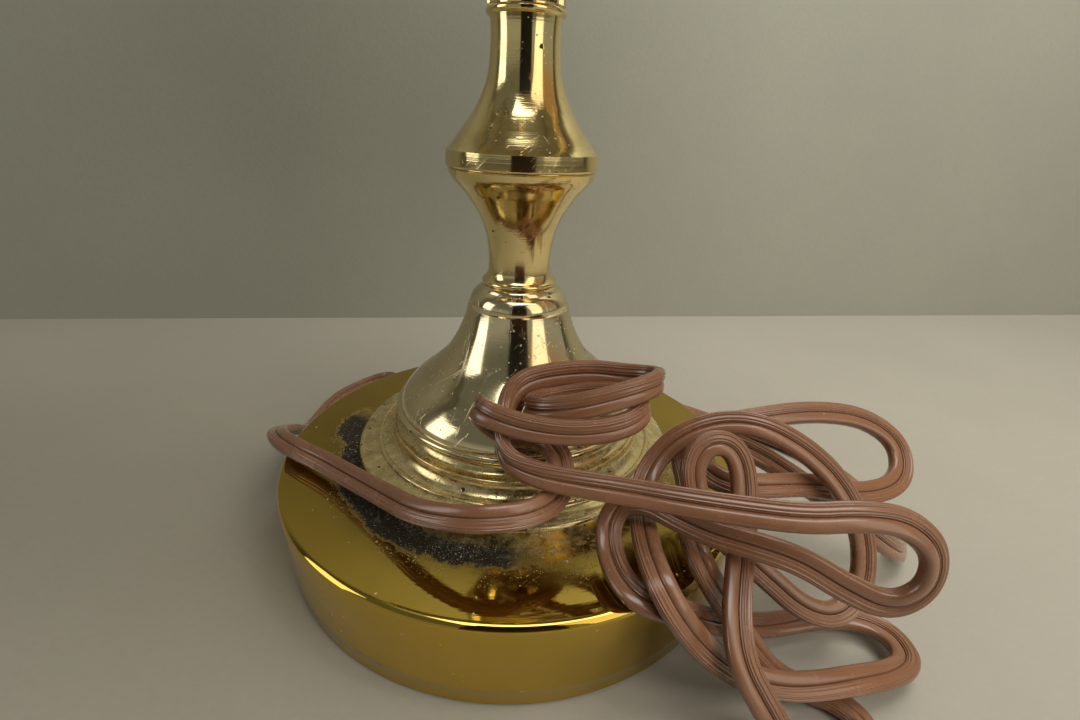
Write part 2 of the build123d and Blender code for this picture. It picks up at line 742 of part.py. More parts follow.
# Bulb: envelope, threaded cap, insulator, tip, stem and filament
globe_middle = bulb_top - bulb_radius
cap_low = tip_height + 3.6
cap_high = shell_top + 1.5
neck_foot = cap_high - 4.0
bulb_neck = bulb_cap_radius - 1.1
with BuildPart() as bulb_glass:
    with BuildSketch(Plane.XZ):
        with BuildLine():
            Polyline((0, neck_foot), (bulb_neck, neck_foot), (bulb_neck, cap_high + 1))
            Spline(
                (bulb_neck, cap_high + 1),
                (bulb_neck + 0.3 * (bulb_radius - bulb_neck), cap_high + 0.4 * (globe_middle - cap_high)),
                (bulb_radius, globe_middle),
                tangents=((0, 1), (0, 1)),
            )
            RadiusArc((bulb_radius, globe_middle), (0, bulb_top), -bulb_radius)
            Line((0, bulb_top), (0, neck_foot))
        make_face()
    revolve(axis=Axis.Z)
    offset(amount=-bulb_wall, openings=bulb_glass.faces().sort_by(Axis.Z)[0])

with BuildPart() as bulb_cap:
    with BuildSketch(Plane.XZ):
        with BuildLine():
            ridges = int((neck_foot - cap_low) / thread_pitch)
            root = bulb_cap_radius - 0.7
            Line((root - 2.4, cap_low), (root, cap_low + 0.8))
            for i in range(ridges):
                low = cap_low + 0.8 + i * thread_pitch
                crest = (bulb_cap_radius, low + thread_pitch / 2)
                ThreePointArc((root, low), crest, (root, low + thread_pitch))
            top_root = cap_low + 0.8 + ridges * thread_pitch
            bore = bulb_neck + fit_gap
            Polyline((root, top_root), (root, cap_high), (bore, cap_high), (bore, neck_foot - 0.4))
            Polyline(
                (bore, neck_foot - 0.4),
                (root - 1.0, neck_foot - 1),
                (root - 1.0, cap_low + 1.6),
                (root - 3.0, cap_low + 0.8),
                (root - 2.4, cap_low),
            )
        make_face()
    revolve(axis=Axis.Z)

with BuildPart() as bulb_insulator:
    with BuildSketch(Plane.XZ):
        with BuildLine():
            Polyline(
                (0, tip_height + 1.2),
                (3.4, tip_height + 1.2),
                (root - 2.6, cap_low - 0.1),
                (root - 3.2, cap_low + 0.7),
                (0, cap_low + 0.7),
                close=True,
            )
        make_face()
    revolve(axis=Axis.Z)

with BuildPart() as bulb_tip:
    with BuildSketch(Plane.XY.offset(tip_height)):
        Circle(3.2)
    extrude(amount=1.2)
    fillet(bulb_tip.edges().group_by(Axis.Z)[0], 0.7)

stem_top = globe_middle - 12
with BuildPart() as filament_stem:
    with BuildSketch(Plane.XZ):
        with BuildLine():
            flare_out = bulb_neck - bulb_wall - fit_gap
            Polyline((0, neck_foot), (flare_out, neck_foot), (flare_out, neck_foot + 0.8))
            flare = [(flare_out, neck_foot + 0.8), (3.2, neck_foot + 9), (2.6, stem_top)]
            Spline(*flare, tangents=((-1, 0.3), (0, 1)))
            Polyline((2.6, stem_top), (0, stem_top), (0, neck_foot))
        make_face()
    revolve(axis=Axis.Z)

filament_span = 9.0
filament_rise = 14.0
with BuildPart() as filament:
    with BuildLine():
        FilletPolyline(
            (-1.6, 0, stem_top + fit_gap),
            (-filament_span, 0, stem_top + filament_rise),
            (0, 0, stem_top + filament_rise - 2),
            (filament_span, 0, stem_top + filament_rise),
            (1.6, 0, stem_top + fit_gap),
            radius=1.2,
        )
    leg_foot = (-1.6, 0, stem_top + fit_gap)
    with BuildSketch(Plane(origin=leg_foot, z_dir=(1.6 - filament_span, 0, filament_rise))):
        Circle(0.35)
    sweep()

# Cord bushing: moulded round the cord, clipped in the base wall, with a ribbed tapering tail
bushing_wall = base_foot_radius + 1.4
bushing_flange = 1.5
bushing_flange_radius = 7.2
bushing_tail = 21.0
tail_root = 4.4
tail_tip = 3.3
tail_ribs = 5
rib_groove = 0.5
tail_start = bushing_wall + bushing_flange
tail_pitch = bushing_tail / (tail_ribs + 0.5)
with BuildPart() as cord_bushing:
    with BuildSketch(Plane.XZ):
        with BuildLine():
            Polyline(
                (0, bushing_seat),
                (bushing_radius, bushing_seat),
                (bushing_radius, bushing_wall),
                (bushing_flange_radius, bushing_wall),
                (bushing_flange_radius - 0.6, tail_start),
                (tail_root, tail_start),
                (tail_tip, tail_start + bushing_tail),
                (0, tail_start + bushing_tail),
                close=True,
            )
        make_face()
        for i in range(tail_ribs):
            rib_low = tail_start + (i + 0.7) * tail_pitch
            rib_radius = tail_root - (tail_root - tail_tip) * (i + 0.9) / (tail_ribs + 0.5)
            with Locations((rib_radius, rib_low)):
                from_foot = (Align.CENTER, Align.MIN)
                Rectangle(2 * rib_groove, 0.4 * tail_pitch, align=from_foot, mode=Mode.SUBTRACT)
    revolve(axis=Axis.Z)
cord_bushing.part.location = Location(exit_plane)

# Two single wires from the bushing, through the weight and the pipe, to the terminals
wire_radius = 1.4
wire_spread = 1.55
wire_floor = pad_thickness + wire_radius + 0.4
wire_level = pipe_top + 4.0
terminal_face = core_bottom - 1.5
across = exit_plane.x_dir
outward = exit_plane.z_dir
for wire_name, side in (("wire_live", -1), ("wire_neutral", 1)):
    beside = across * (side * wire_spread)
    post = -side * terminal_x
    with BuildPart() as wire:
        with BuildLine() as wire_path:
            FilletPolyline(
                outward * bushing_seat + beside + Vector(0, 0, exit_height),
                outward * (bushing_seat - 12) + beside + Vector(0, 0, exit_height),
                outward * (bushing_seat - 30) + beside + Vector(0, 0, wire_floor),
                beside + Vector(0, 0, wire_floor),
                beside + Vector(0, 0, wire_level),
                Vector(post, 0, wire_level),
                Vector(post, 0, terminal_face - fit_gap),
                radius=3.0,
            )
        with BuildSketch(Plane(origin=wire_path.wire() @ 0, z_dir=wire_path.wire() % 0)):
            Circle(wire_radius)
        sweep()
    pieces[wire_name] = wire

# Cord. It is a flat twin cord, and its solid is a round tube between its width and thickness.
# The route of each stretch lies as the photograph shows it, from the bushing to the plug.
cord_radius = 2.5
tail_end = outward * (tail_start + bushing_tail) + Vector(0, 0, exit_height)
lead_route = [
    tuple(tail_end),
    tuple(tail_end + outward * 8),
    (-73, 88.5, 7),
    (-84, 88.5, 5),
    (-94, 82, 4),
    (-100, 71.5, 5),
    (-101.5, 59, 8),
    (-100.5, 47, 11),
    (-97, 31.5, 15.5),
    (-91, 16.5, 20.5),
    (-85.5, 3, 26.5),
    (-77.5, -10, 32),
    (-64.5, -20.5, 33),
    (-50, -31, 33.5),
    (-35.5, -42, 36),
    (-22, -51.5, 40),
    (-10, -57.5, 43.5),
    (-0.5, -58.5, 45),
    (7.5, -55.5, 44.6),
    (13.4, -49.8, 44.8),
    (14.6, -44.3, 48.2),
    (13.2, -40.5, 52.2),
]
run_route = [
    (-1.4, -42.6, 56.5),
    (0.4, -46.2, 53.3),
    (5.2, -48.3, 51.5),
    (12, -50.6, 51.2),
    (20, -52.8, 51.5),
    (28.5, -55.2, 52.1),
    (40, -60, 53.7),
    (52.5, -64.2, 55.2),
    (64.5, -67.4, 56.5),
    (75.5, -67.8, 58.3),
    (85, -68, 57.5),
    (92.5, -69.2, 51.5),
    (93, -70.7, 42),
    (86.5, -70.6, 36),
    (77, -67.8, 38.5),
    (68, -64.5, 42.5),
    (57.5, -61.2, 43.5),
    (49.5, -57.2, 42.7),
]
low_route = [
    (42.5, -52.7, 43),
    (35.7, -48.7, 44.5),
    (30, -47.3, 42.7),
    (26.5, -50, 38.5),
    (26.5, -55.5, 34.5),
    (28.3, -62.6, 33),
    (32, -68, 32.5),
    (37.5, -69, 31),
    (47, -64, 23),
    (59.5, -55.5, 11),
    (75, -49.7, 4.5),
    (89, -46, 4.5),
    (100, -46, 5),
    (107.5, -51, 5),
    (107.5, -59.5, 5.5),
    (99.5, -65, 7.5),
    (88, -68.5, 9.5),
    (77, -71, 10),
    (67.5, -72.1, 10.7),
    (58, -71.6, 13),
    (48, -72.5, 22),
    (39.5, -73.7, 34),
    (35.5, -67.5, 39),
    (35, -56, 38),
    (35.5, -45, 38.5),
]
arch_route = [
    (37, -36, 40),
    (41.4, -30.2, 45.6),
    (48.2, -27.9, 51.7),
    (57.3, -27.7, 56),
    (67.3, -29.4, 57),
    (77.2, -32.5, 53.7),
    (86, -36.2, 48),
    (92.7, -39.8, 40),
    (97.3, -43.4, 29.4),
    (97.1, -48.3, 18.6),
    (89.3, -53.8, 13.6),
    (79.2, -54.3, 16.1),
    (70.1, -50.3, 22.6),
    (60.2, -48.4, 30.5),
    (52.1, -48, 38.8),
    (47.5, -47.2, 46.7),
    (46.8, -43.8, 53),
    (50.2, -41.2, 57.5),
    (56, -40.9, 57.6),
    (59.5, -43, 53.5),
    (60.2, -47.3, 46.9),
    (59, -53.4, 40.2),
    (56.8, -61, 34.2),
]
fold_route = [
    (54.3, -69.6, 29.6),
    (54.1, -77.3, 24.7),
    (59, -81.6, 17.6),
    (64, -84.5, 10.5),
    (71, -85, 5),
    (79, -84.5, 3),
    (86, -81.5, 2.8),
    (88.5, -74.5, 2.8),
    (84, -69, 2.8),
    (77, -66.5, 2.8),
    (70.5, -64, 4.5),
    (63, -62, 13),
    (55, -60, 24),
    (48.5, -58, 34),
    (48, -46.3, 35.2),
    (50.2, -36, 40),
    (48.5, -27, 44.5),
    (55.5, -20.5, 49),
]
tail_route = [
    (72.5, -16.5, 51.5),
    (90.5, -13.1, 53),
    (108.1, -10.9, 50.6),
    (119, -15, 44),
    (116, -25, 36.3),
    (100, -31.6, 36.2),
    (84.3, -33.8, 41.2),
    (70, -38.4, 43.2),
    (60, -39.8, 43.7),
    (53, -36.3, 45.3),
    (53.3, -30, 48.4),
    (61, -26.2, 49.4),
    (72, -27, 45.2),
    (85.5, -28, 37),
    (99.5, -28, 28),
    (112, -28.5, 18.5),
    (124, -25, 9.5),
    (132.5, -14, 4),
    (136.5, 1, 2.6),
    (136, 17, 2.6),
    (131, 32, 2.6),
    (121, 45, 2.6),
    (109, 55.5, 2.6),
    (95, 65, 2.6),
    (81, 74, 2.6),
    (68, 84, 3),
    (53, 92.5, 4),
    (38, 96, 6.5),
    (24, 96, 8),
    (12, 96, 8),
]


def halfway(first, second):
    """The point midway between two points of a route, where one stretch meets the next."""
    return tuple((Vector(*first) + Vector(*second)) * 0.5)


def corner_radii(route):
    """The largest arc that fits at each corner, as a share of the shorter run beside it."""
    radii = []
    for before, corner, after in zip(route, route[1:], route[2:]):
        run_in = Vector(*corner) - Vector(*before)
        run_out = Vector(*after) - Vector(*corner)
        half_turn = radians(run_in.get_angle(run_out)) / 2
        radii.append(0.45 * min(run_in.length, run_out.length) / tan(half_turn))
    return radii


def report_tube(label, tube, path):
    """Print a tube's length and its volume against its section times its length."""
    ratio = tube.part.volume / (pi * cord_radius**2 * path.length)
    print(f"{label}: {path.length:.0f} mm long, volume {ratio:.3f} of section times length")


# Each stretch ends halfway along a run, so that its end face meets the next one square
routes = [run_route, low_route, arch_route, fold_route, tail_route]
for near, far in zip(routes, routes[1:]):
    meeting = halfway(near[-1], far[0])
    near.append(meeting)
    far.insert(0, meeting)
stretches = {
    "cord_lead": lead_route,
    "cord_run": run_route,
    "cord_low": low_route,
    "cord_arch": arch_route,
    "cord_fold": fold_route,
    "cord_tail": tail_route,
}
cord_length = 0.0
for stretch_name, route in stretches.items():
    radii = corner_radii(route)
    with BuildPart() as stretch:
        with BuildLine() as stretch_path:
            FilletPolyline(*route, radius=radii)
        centre_line = stretch_path.wire()
        with BuildSketch(Plane(origin=centre_line @ 0, z_dir=centre_line % 0)):
            Circle(cord_radius)
        sweep()
    pieces[stretch_name] = stretch
    cord_length += centre_line.length
    print(stretch_name, "corner radii", [round(r, 1) for r in radii])
    report_tube(stretch_name, stretch, centre_line)

# Hank: two loose turns in front of the bell, drawn in at the left where they cross
hank_centre = (14.0, -37.5, 60.0)
hank_drift = (3.5, 2.0, 5.9)
hank_half_length = 19.0
hank_half_depth = 9.0
hank_draw = 5.0
hank_pinch = 1.5
hank_lean = 1.2
hank_sag = 1.0
hank_cross = 3.4
hank_quarters = 8
end_run = 2 * cord_radius


def hank_point(turn):
    """A point of the hank after so many turns, counted from its left end."""
    angle = pi + 2 * pi * turn
    swing = cos(pi * turn)
    half_long = hank_half_length + hank_draw * swing - hank_pinch * swing**2
    half_deep = hank_half_depth + swing
    x = hank_centre[0] + hank_drift[0] * turn + half_long * cos(angle)
    y = hank_centre[1] + hank_drift[1] * turn + half_deep * sin(angle)
    bow = hank_sag * cos(2 * angle) - hank_lean * sin(angle)
    z = hank_centre[2] + hank_drift[2] * turn + bow + (hank_lean - hank_cross * swing) * cos(angle)
    return Vector(x, y, z)


def direction_at(before, point, after):
    """The direction of the circle through three points, at the middle one."""
    run_in = point - before
    run_out = after - point
    return (run_in.normalized() * run_out.length + run_out.normalized() * run_in.length).normalized()


def biarc(start, start_way, finish, finish_way):
    """Two arcs that join two points with the direction given at each."""
    span = finish - start
    ways = start_way + finish_way
    square = 2 * start_way.dot(finish_way) - 2
    middle = -2 * span.dot(ways)
    reach = 2 * span.dot(span) / (sqrt(middle**2 - 4 * square * span.dot(span)) - middle)
    corner = start + start_way * reach
    joint = (corner + finish - finish_way * reach) * 0.5
    TangentArc(start, joint, tangent=start_way)
    TangentArc(joint, finish, tangent=joint - corner)


lead_end = Vector(*lead_route[-1])
run_start = Vector(*run_route[0])
way_in = (lead_end - Vector(*lead_route[-2])).normalized()
way_out = (Vector(*run_route[1]) - run_start).normalized()
hank_points = [lead_end + way_in * end_run, Vector(7.5, -36.6, 55.2)]
hank_points += [Vector(1, -37, 54.2), Vector(-6, -34.6, 56.6)]
hank_points += [hank_point(i / 4) for i in range(hank_quarters)]
hank_points += [Vector(5.5, -27.5, 67), Vector(0.8, -31, 64.8), Vector(-0.9, -36.8, 62.6)]
hank_points += [run_start - way_out * end_run]
ways = [direction_at(*three) for three in zip(hank_points, hank_points[1:], hank_points[2:])]
ways = [way_in] + ways + [way_out]
with BuildPart() as cord_hank:
    with BuildLine() as hank_path:
        Line(lead_end, hank_points[0])
        for start, start_way, finish, finish_way in zip(hank_points, ways, hank_points[1:], ways[1:]):
            biarc(start, start_way, finish, finish_way)
        Line(hank_points[-1], run_start)
    with BuildSketch(Plane(origin=lead_end, z_dir=way_in)):
        Circle(cord_radius)
    sweep()
hank_line = hank_path.wire()
cord_length += hank_line.length
report_tube("cord_hank", cord_hank, hank_line)
hank_samples = int(hank_line.length)
samples = [hank_line @ (i / hank_samples) for i in range(hank_samples + 1)]
apart = int(3 * pi * cord_radius)
gaps = []
for i in range(hank_samples):
    gaps += [(samples[i] - sample).length for sample in samples[i + apart :]]
least = min(gaps)
print(f"cord_hank: least gap to itself {least - 2 * cord_radius:.2f} mm")
print(f"cord: {cord_length:.0f} mm from the bushing to the plug")

# Moulded plug with two flat blades, lying on the table
plug_width = 24.0
plug_height = 15.0
plug_length = 26.0
blade_hole_inset = 4.0
blade_hole_radius = 1.6
blade_spacing = 12.7
blade_thickness = 1.5
blade_length = 17.0
blade_widths = (6.3, 8.0)
plug_end = Vector(*tail_route[-1])
plug_plane = Plane(origin=plug_end, x_dir=(0, 1, 0), z_dir=(-1, 0, 0))
with BuildPart() as plug_body:
    with BuildSketch(plug_plane):
        RectangleRounded(9, 8, 3.5)
    with BuildSketch(plug_plane.offset(0.45 * plug_length)):
        RectangleRounded(0.8 * plug_width, 0.85 * plug_height, 4.5)
    with BuildSketch(plug_plane.offset(plug_length)):
        RectangleRounded(plug_width, plug_height, 4.5)
    loft()
    fillet(plug_body.faces().sort_by(Axis.X)[0].edges(), 1.0)

with BuildPart() as plug_blades:
    for side, blade_width in zip((-1, 1), blade_widths):
        with BuildSketch(plug_plane.offset(plug_length)):
            with Locations((side * blade_spacing / 2, 0)):
                Rectangle(blade_thickness, blade_width)
        extrude(amount=blade_length)
    fillet(plug_blades.edges().filter_by(Axis.Y).group_by(Axis.X)[0], 1.5)
    with BuildSketch(Plane.XZ.offset(-plug_end.Y - plug_width / 2)):
        with Locations((plug_end.X - plug_length - blade_length + blade_hole_inset, plug_end.Z)):
            Circle(blade_hole_radius)
    extrude(amount=plug_width, mode=Mode.SUBTRACT)

pieces.update(
    socket_cap=socket_cap,
    socket_shell=socket_shell,
    insulating_liner=insulating_liner,
    socket_core=socket_core,
    lever_pin=lever_pin,
    switch_lever=switch_lever,
    return_leaf=return_leaf,
    terminal_screws=terminal_screws,
    screw_shell=screw_shell,
    centre_contact=centre_contact,
    chain_spout=chain_spout,
    pull_chain=pull_chain,
    chain_drop=chain_drop,
    bulb_glass=bulb_glass,
    bulb_cap=bulb_cap,
    bulb_insulator=bulb_insulator,
    bulb_tip=bulb_tip,
    filament_stem=filament_stem,
    filament=filament,
    cord_bushing=cord_bushing,
    cord_hank=cord_hank,
    plug_body=plug_body,
    plug_blades=plug_blades,
)

for name, piece in pieces.items():
    piece.part.label = name
    export_step(piece.part, f"parts/{name}.step")
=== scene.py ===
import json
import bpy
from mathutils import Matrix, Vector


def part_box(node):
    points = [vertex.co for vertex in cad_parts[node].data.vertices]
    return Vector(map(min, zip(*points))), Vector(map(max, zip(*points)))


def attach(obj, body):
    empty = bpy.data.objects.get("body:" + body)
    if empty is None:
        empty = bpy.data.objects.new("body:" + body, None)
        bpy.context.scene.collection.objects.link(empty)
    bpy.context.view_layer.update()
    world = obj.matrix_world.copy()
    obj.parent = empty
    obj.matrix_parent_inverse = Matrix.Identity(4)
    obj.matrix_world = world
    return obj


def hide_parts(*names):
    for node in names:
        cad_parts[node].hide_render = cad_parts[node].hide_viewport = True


bl_info = {
    "name": "Bankers Lamp",
    "version": (1, 0, 0),
    "blender": (4, 5, 0),
    "location": "3D View > Sidebar > Lamp",
    "description": "Dresses the measured frame of a brass bankers lamp with a green glass shade",
    "category": "Add Mesh",
}

from math import copysign, cos, pi, radians, sin

import bpy
from mathutils import Matrix, Vector

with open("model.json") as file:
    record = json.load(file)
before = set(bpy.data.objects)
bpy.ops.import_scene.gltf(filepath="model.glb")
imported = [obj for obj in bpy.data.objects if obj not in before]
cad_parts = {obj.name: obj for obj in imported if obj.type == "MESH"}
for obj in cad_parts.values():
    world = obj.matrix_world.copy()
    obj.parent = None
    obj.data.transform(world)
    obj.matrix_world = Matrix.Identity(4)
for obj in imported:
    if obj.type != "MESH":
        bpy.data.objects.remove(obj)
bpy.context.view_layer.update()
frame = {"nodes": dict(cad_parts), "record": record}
MM = 0.001
UP = Vector((0, 0, 1))

# Camera: its place in metres, its lens in millimetres, and the ways to its right and its top
CAMERA_PLACE = (0.007403, -0.158006, 0.130690)
CAMERA_LENS = 18.03
CAMERA_RIGHT = Vector((0.99889993, 0.01920044, 0.04278159))
CAMERA_UP = Vector((-0.04689266, 0.40900469, 0.91132664))

# Turned pieces: facets round the axis, and the bore for the threaded pipe in millimetres
TURNED_SEGMENTS = 192
PIPE_BORE = 5.3

# Cord: how full its round sides are, its ribs, and how it is laid
FULLNESS = 2.9
CONDUCTOR_SWEEP = radians(158)
RIB_COUNT = 15
RIB_DEPTH = 0.12
LINE_STEPS = 10
LEAST_STEP = 0.0002
FACE_PULL = 0.06
FRONT_UP = Vector((0, -0.75, 0.66))
TABLE_LEVEL = 0.006
TABLE_GAP = 0.0001


# Sizes and colours that a user may change


def colour(title, about, default):
    """A colour property, in linear values."""
    return bpy.props.FloatVectorProperty(
        name=title, description=about, subtype="COLOR", size=3, min=0, max=1, default=default
    )


class LampFinish(bpy.types.PropertyGroup):
    """Colours of the lamp's metals, glass and cord."""

    base_brass: colour("Base brass", "Lacquer colour of the round base", (0.62, 0.425, 0.082))
    foot_brass: colour("Foot brass", "Colour of the dusty stepped foot", (0.84, 0.67, 0.32))
    bell_brass: colour("Bell brass", "Pale lacquer of the bell", (0.82, 0.69, 0.42))
    stem_brass: colour("Stem brass", "Brass of the stem, yoke and socket", (0.88, 0.71, 0.34))
    shade_green: colour("Shade green", "Outer glass of the shade", (0.0, 0.075, 0.024))
    cord_brown: colour("Cord brown", "Vinyl of the cord, bushing and plug", (0.225, 0.098, 0.047))
    floor_grey: colour("Floor grey", "Plain floor and back wall", (0.36, 0.328, 0.258))


class LampSizes(bpy.types.PropertyGroup):
    """Sizes that the looks add to the measured frame."""

    cord_width: bpy.props.FloatProperty(
        name="Cord width", description="Across both conductors", unit="LENGTH",
        min=0.005, max=0.009, default=0.0066)
    cord_thickness: bpy.props.FloatProperty(
        name="Cord thickness", description="Through one conductor", unit="LENGTH",
        min=0.002, max=0.005, default=0.0034)
    wall_distance: bpy.props.FloatProperty(
        name="Wall distance", description="From the lamp's middle to the back wall", unit="LENGTH",
        min=0.12, max=1.0, default=0.2075)
    wall_turn: bpy.props.FloatProperty(
        name="Wall turn", description="Angle of the back wall to the lamp", unit="ROTATION",
        min=-0.5, max=0.5, default=radians(8.6))


# Cord route from the bushing to the plug, in metres. It repeats the frame's own route, apart from
# the lead, which lies nearer to the base behind it.

EXIT_ANGLE = radians(128)
EXIT_HEIGHT = 0.009
BUSHING_TIP = 0.0968
outward = Vector((cos(EXIT_ANGLE), sin(EXIT_ANGLE), 0))
tail_end = outward * BUSHING_TIP + Vector((0, 0, EXIT_HEIGHT))
lead_route = [
    tuple(tail_end),
    tuple(tail_end + outward * 0.008),
    (-0.0715, 0.0875, 0.0065),
    (-0.08, 0.0835, 0.0045),
    (-0.087, 0.0745, 0.0035),
    (-0.0895, 0.064, 0.0035),
    (-0.0895, 0.053, 0.0038),
    (-0.0885, 0.042, 0.0052),
    (-0.087, 0.032, 0.0092),
    (-0.0853, 0.022, 0.015),
    (-0.0837, 0.012, 0.0218),
    (-0.0822, 0.001, 0.028),
    (-0.0765, -0.0095, 0.0318),
    (-0.067, -0.017, 0.033),
    (-0.056, -0.0235, 0.0335),
    (-0.044, -0.0325, 0.0348),
    (-0.0335, -0.041, 0.0368),
    (-0.022, -0.0515, 0.04),
    (-0.01, -0.0575, 0.0435),
    (-0.0005, -0.0585, 0.045),
    (0.0075, -0.0555, 0.0446),
    (0.0134, -0.0498, 0.0448),
    (0.0146, -0.0443, 0.0482),
    (0.0132, -0.0405, 0.0522),
]
run_route = [
    (-0.0014, -0.0426, 0.0565),
    (0.0004, -0.0462, 0.0533),
    (0.0052, -0.0483, 0.0515),
    (0.012, -0.0506, 0.0512),
    (0.02, -0.0528, 0.0515),
    (0.0285, -0.0552, 0.0521),
    (0.04, -0.06, 0.0537),
    (0.0525, -0.0642, 0.0552),
    (0.0645, -0.0674, 0.0565),
    (0.0755, -0.0678, 0.0583),
    (0.085, -0.068, 0.0575),
    (0.0925, -0.0692, 0.0515),
    (0.093, -0.0707, 0.042),
    (0.0865, -0.0706, 0.036),
    (0.077, -0.0678, 0.0385),
    (0.068, -0.0645, 0.0425),
    (0.0575, -0.0612, 0.0435),
    (0.0495, -0.0572, 0.0427),
]
low_route = [
    (0.0425, -0.0527, 0.043),
    (0.0357, -0.0487, 0.0445),
    (0.03, -0.0473, 0.0427),
    (0.0265, -0.05, 0.0385),
    (0.0265, -0.0555, 0.0345),
    (0.0283, -0.0626, 0.033),
    (0.032, -0.068, 0.0325),
    (0.0375, -0.069, 0.031),
    (0.047, -0.064, 0.023),
    (0.0595, -0.0555, 0.011),
    (0.075, -0.0497, 0.0045),
    (0.089, -0.046, 0.0045),
    (0.1, -0.046, 0.005),
    (0.1075, -0.051, 0.005),
    (0.1075, -0.0595, 0.0055),
    (0.0995, -0.065, 0.0075),
    (0.088, -0.0685, 0.0095),
    (0.077, -0.071, 0.01),
    (0.0675, -0.0721, 0.0107),
    (0.058, -0.0716, 0.013),
    (0.048, -0.0725, 0.022),
    (0.0395, -0.0737, 0.034),
    (0.0355, -0.0675, 0.039),
    (0.035, -0.056, 0.038),
    (0.0355, -0.045, 0.0385),
]
arch_route = [
    (0.037, -0.036, 0.04),
    (0.0414, -0.0302, 0.0456),
    (0.0482, -0.0279, 0.0517),
    (0.0573, -0.0277, 0.056),
    (0.0673, -0.0294, 0.057),
    (0.0772, -0.0325, 0.0537),
    (0.086, -0.0362, 0.048),
    (0.0927, -0.0398, 0.04),
    (0.0973, -0.0434, 0.0294),
    (0.0971, -0.0483, 0.0186),
    (0.0893, -0.0538, 0.0136),
    (0.0792, -0.0543, 0.0161),
    (0.0701, -0.0503, 0.0226),
    (0.0602, -0.0484, 0.0305),
    (0.0521, -0.048, 0.0388),
    (0.0475, -0.0472, 0.0467),
    (0.0468, -0.0438, 0.053),
    (0.0502, -0.0412, 0.0575),
    (0.056, -0.0409, 0.0576),
    (0.0595, -0.043, 0.0535),
    (0.0602, -0.0473, 0.0469),
    (0.059, -0.0534, 0.0402),
    (0.0568, -0.061, 0.0342),
]
fold_route = [
    (0.0543, -0.0696, 0.0296),
    (0.0541, -0.0773, 0.0247),
    (0.059, -0.0816, 0.0176),
    (0.064, -0.0845, 0.0105),
    (0.071, -0.085, 0.005),
    (0.079, -0.0845, 0.003),
    (0.086, -0.0815, 0.0028),
    (0.0885, -0.0745, 0.0028),
    (0.084, -0.069, 0.0028),
    (0.077, -0.0665, 0.0028),
    (0.0705, -0.064, 0.0045),
    (0.063, -0.062, 0.013),
    (0.055, -0.06, 0.024),
    (0.0485, -0.058, 0.034),
    (0.048, -0.0463, 0.0352),
    (0.0502, -0.036, 0.04),
    (0.0485, -0.027, 0.0445),
    (0.0555, -0.0205, 0.049),
]
tail_route = [
    (0.0725, -0.0165, 0.0515),
    (0.0905, -0.0131, 0.053),
    (0.1081, -0.0109, 0.0506),
    (0.119, -0.015, 0.044),
    (0.116, -0.025, 0.0363),
    (0.1, -0.0316, 0.0362),
    (0.0843, -0.0338, 0.0412),
    (0.07, -0.0384, 0.0432),
    (0.06, -0.0398, 0.0437),
    (0.053, -0.0363, 0.0453),
    (0.0533, -0.03, 0.0484),
    (0.061, -0.0262, 0.0494),
    (0.072, -0.027, 0.0452),
    (0.0855, -0.028, 0.037),
    (0.0995, -0.028, 0.028),
    (0.112, -0.0285, 0.0185),
    (0.124, -0.025, 0.0095),
    (0.1325, -0.014, 0.004),
    (0.1365, 0.001, 0.0026),
    (0.136, 0.017, 0.0026),
    (0.131, 0.032, 0.0026),
    (0.121, 0.045, 0.0026),
    (0.109, 0.0555, 0.0026),
    (0.095, 0.065, 0.0026),
    (0.081, 0.074, 0.0026),
    (0.068, 0.084, 0.003),
    (0.053, 0.0925, 0.004),
    (0.038, 0.096, 0.0065),
    (0.024, 0.096, 0.008),
    (0.012, 0.096, 0.008),
]

HANK_CENTRE = Vector((0.014, -0.0375, 0.060))
HANK_DRIFT = Vector((0.0035, 0.002, 0.0059))
HANK_HALF_LENGTH = 0.019
HANK_HALF_DEPTH = 0.009
HANK_DRAW = 0.005
HANK_PINCH = 0.0015
HANK_LEAN = 0.0012
HANK_SAG = 0.001
HANK_CROSS = 0.0034
TURN_POINTS = 12
HANK_POINTS = 22
hank_way_in = [(0.0075, -0.0366, 0.0552), (0.001, -0.037, 0.0542), (-0.006, -0.0346, 0.0566)]
hank_way_out = [(0.0055, -0.0275, 0.067), (0.0008, -0.031, 0.0648), (-0.0009, -0.0368, 0.0626)]


def hank_point(turn):
    """A point of the hank after so many turns, counted from its left end."""
    angle = pi + 2 * pi * turn
    swing = cos(pi * turn)
    half_long = HANK_HALF_LENGTH + HANK_DRAW * swing - HANK_PINCH * swing**2
    half_deep = HANK_HALF_DEPTH + MM * swing
    bow = HANK_SAG * cos(2 * angle) - HANK_LEAN * sin(angle)
    across = half_long * cos(angle)
    rise = bow + (HANK_LEAN - HANK_CROSS * swing) * cos(angle)
    return HANK_CENTRE + HANK_DRIFT * turn + Vector((across, half_deep * sin(angle), rise))


hank_route = hank_way_in + [tuple(hank_point(i / TURN_POINTS)) for i in range(HANK_POINTS)]
hank_route += hank_way_out


# Meshes


def mesh_piece(name, points, faces, finishes, nodes=(), body="root", crease=40):
    """A smooth-shaded mesh that rides on a body and stands for the named nodes."""
    mesh = bpy.data.meshes.new(name)
    mesh.from_pydata(points, [], faces)
    mesh.validate()
    mesh.shade_smooth()
    mesh.set_sharp_from_angle(angle=radians(crease))
    for finish in finishes:
        mesh.materials.append(finish)
    piece = bpy.data.objects.new(name, mesh)
    bpy.context.scene.collection.objects.link(piece)
    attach(piece, body)
    if nodes:
        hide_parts(*nodes)
    return piece


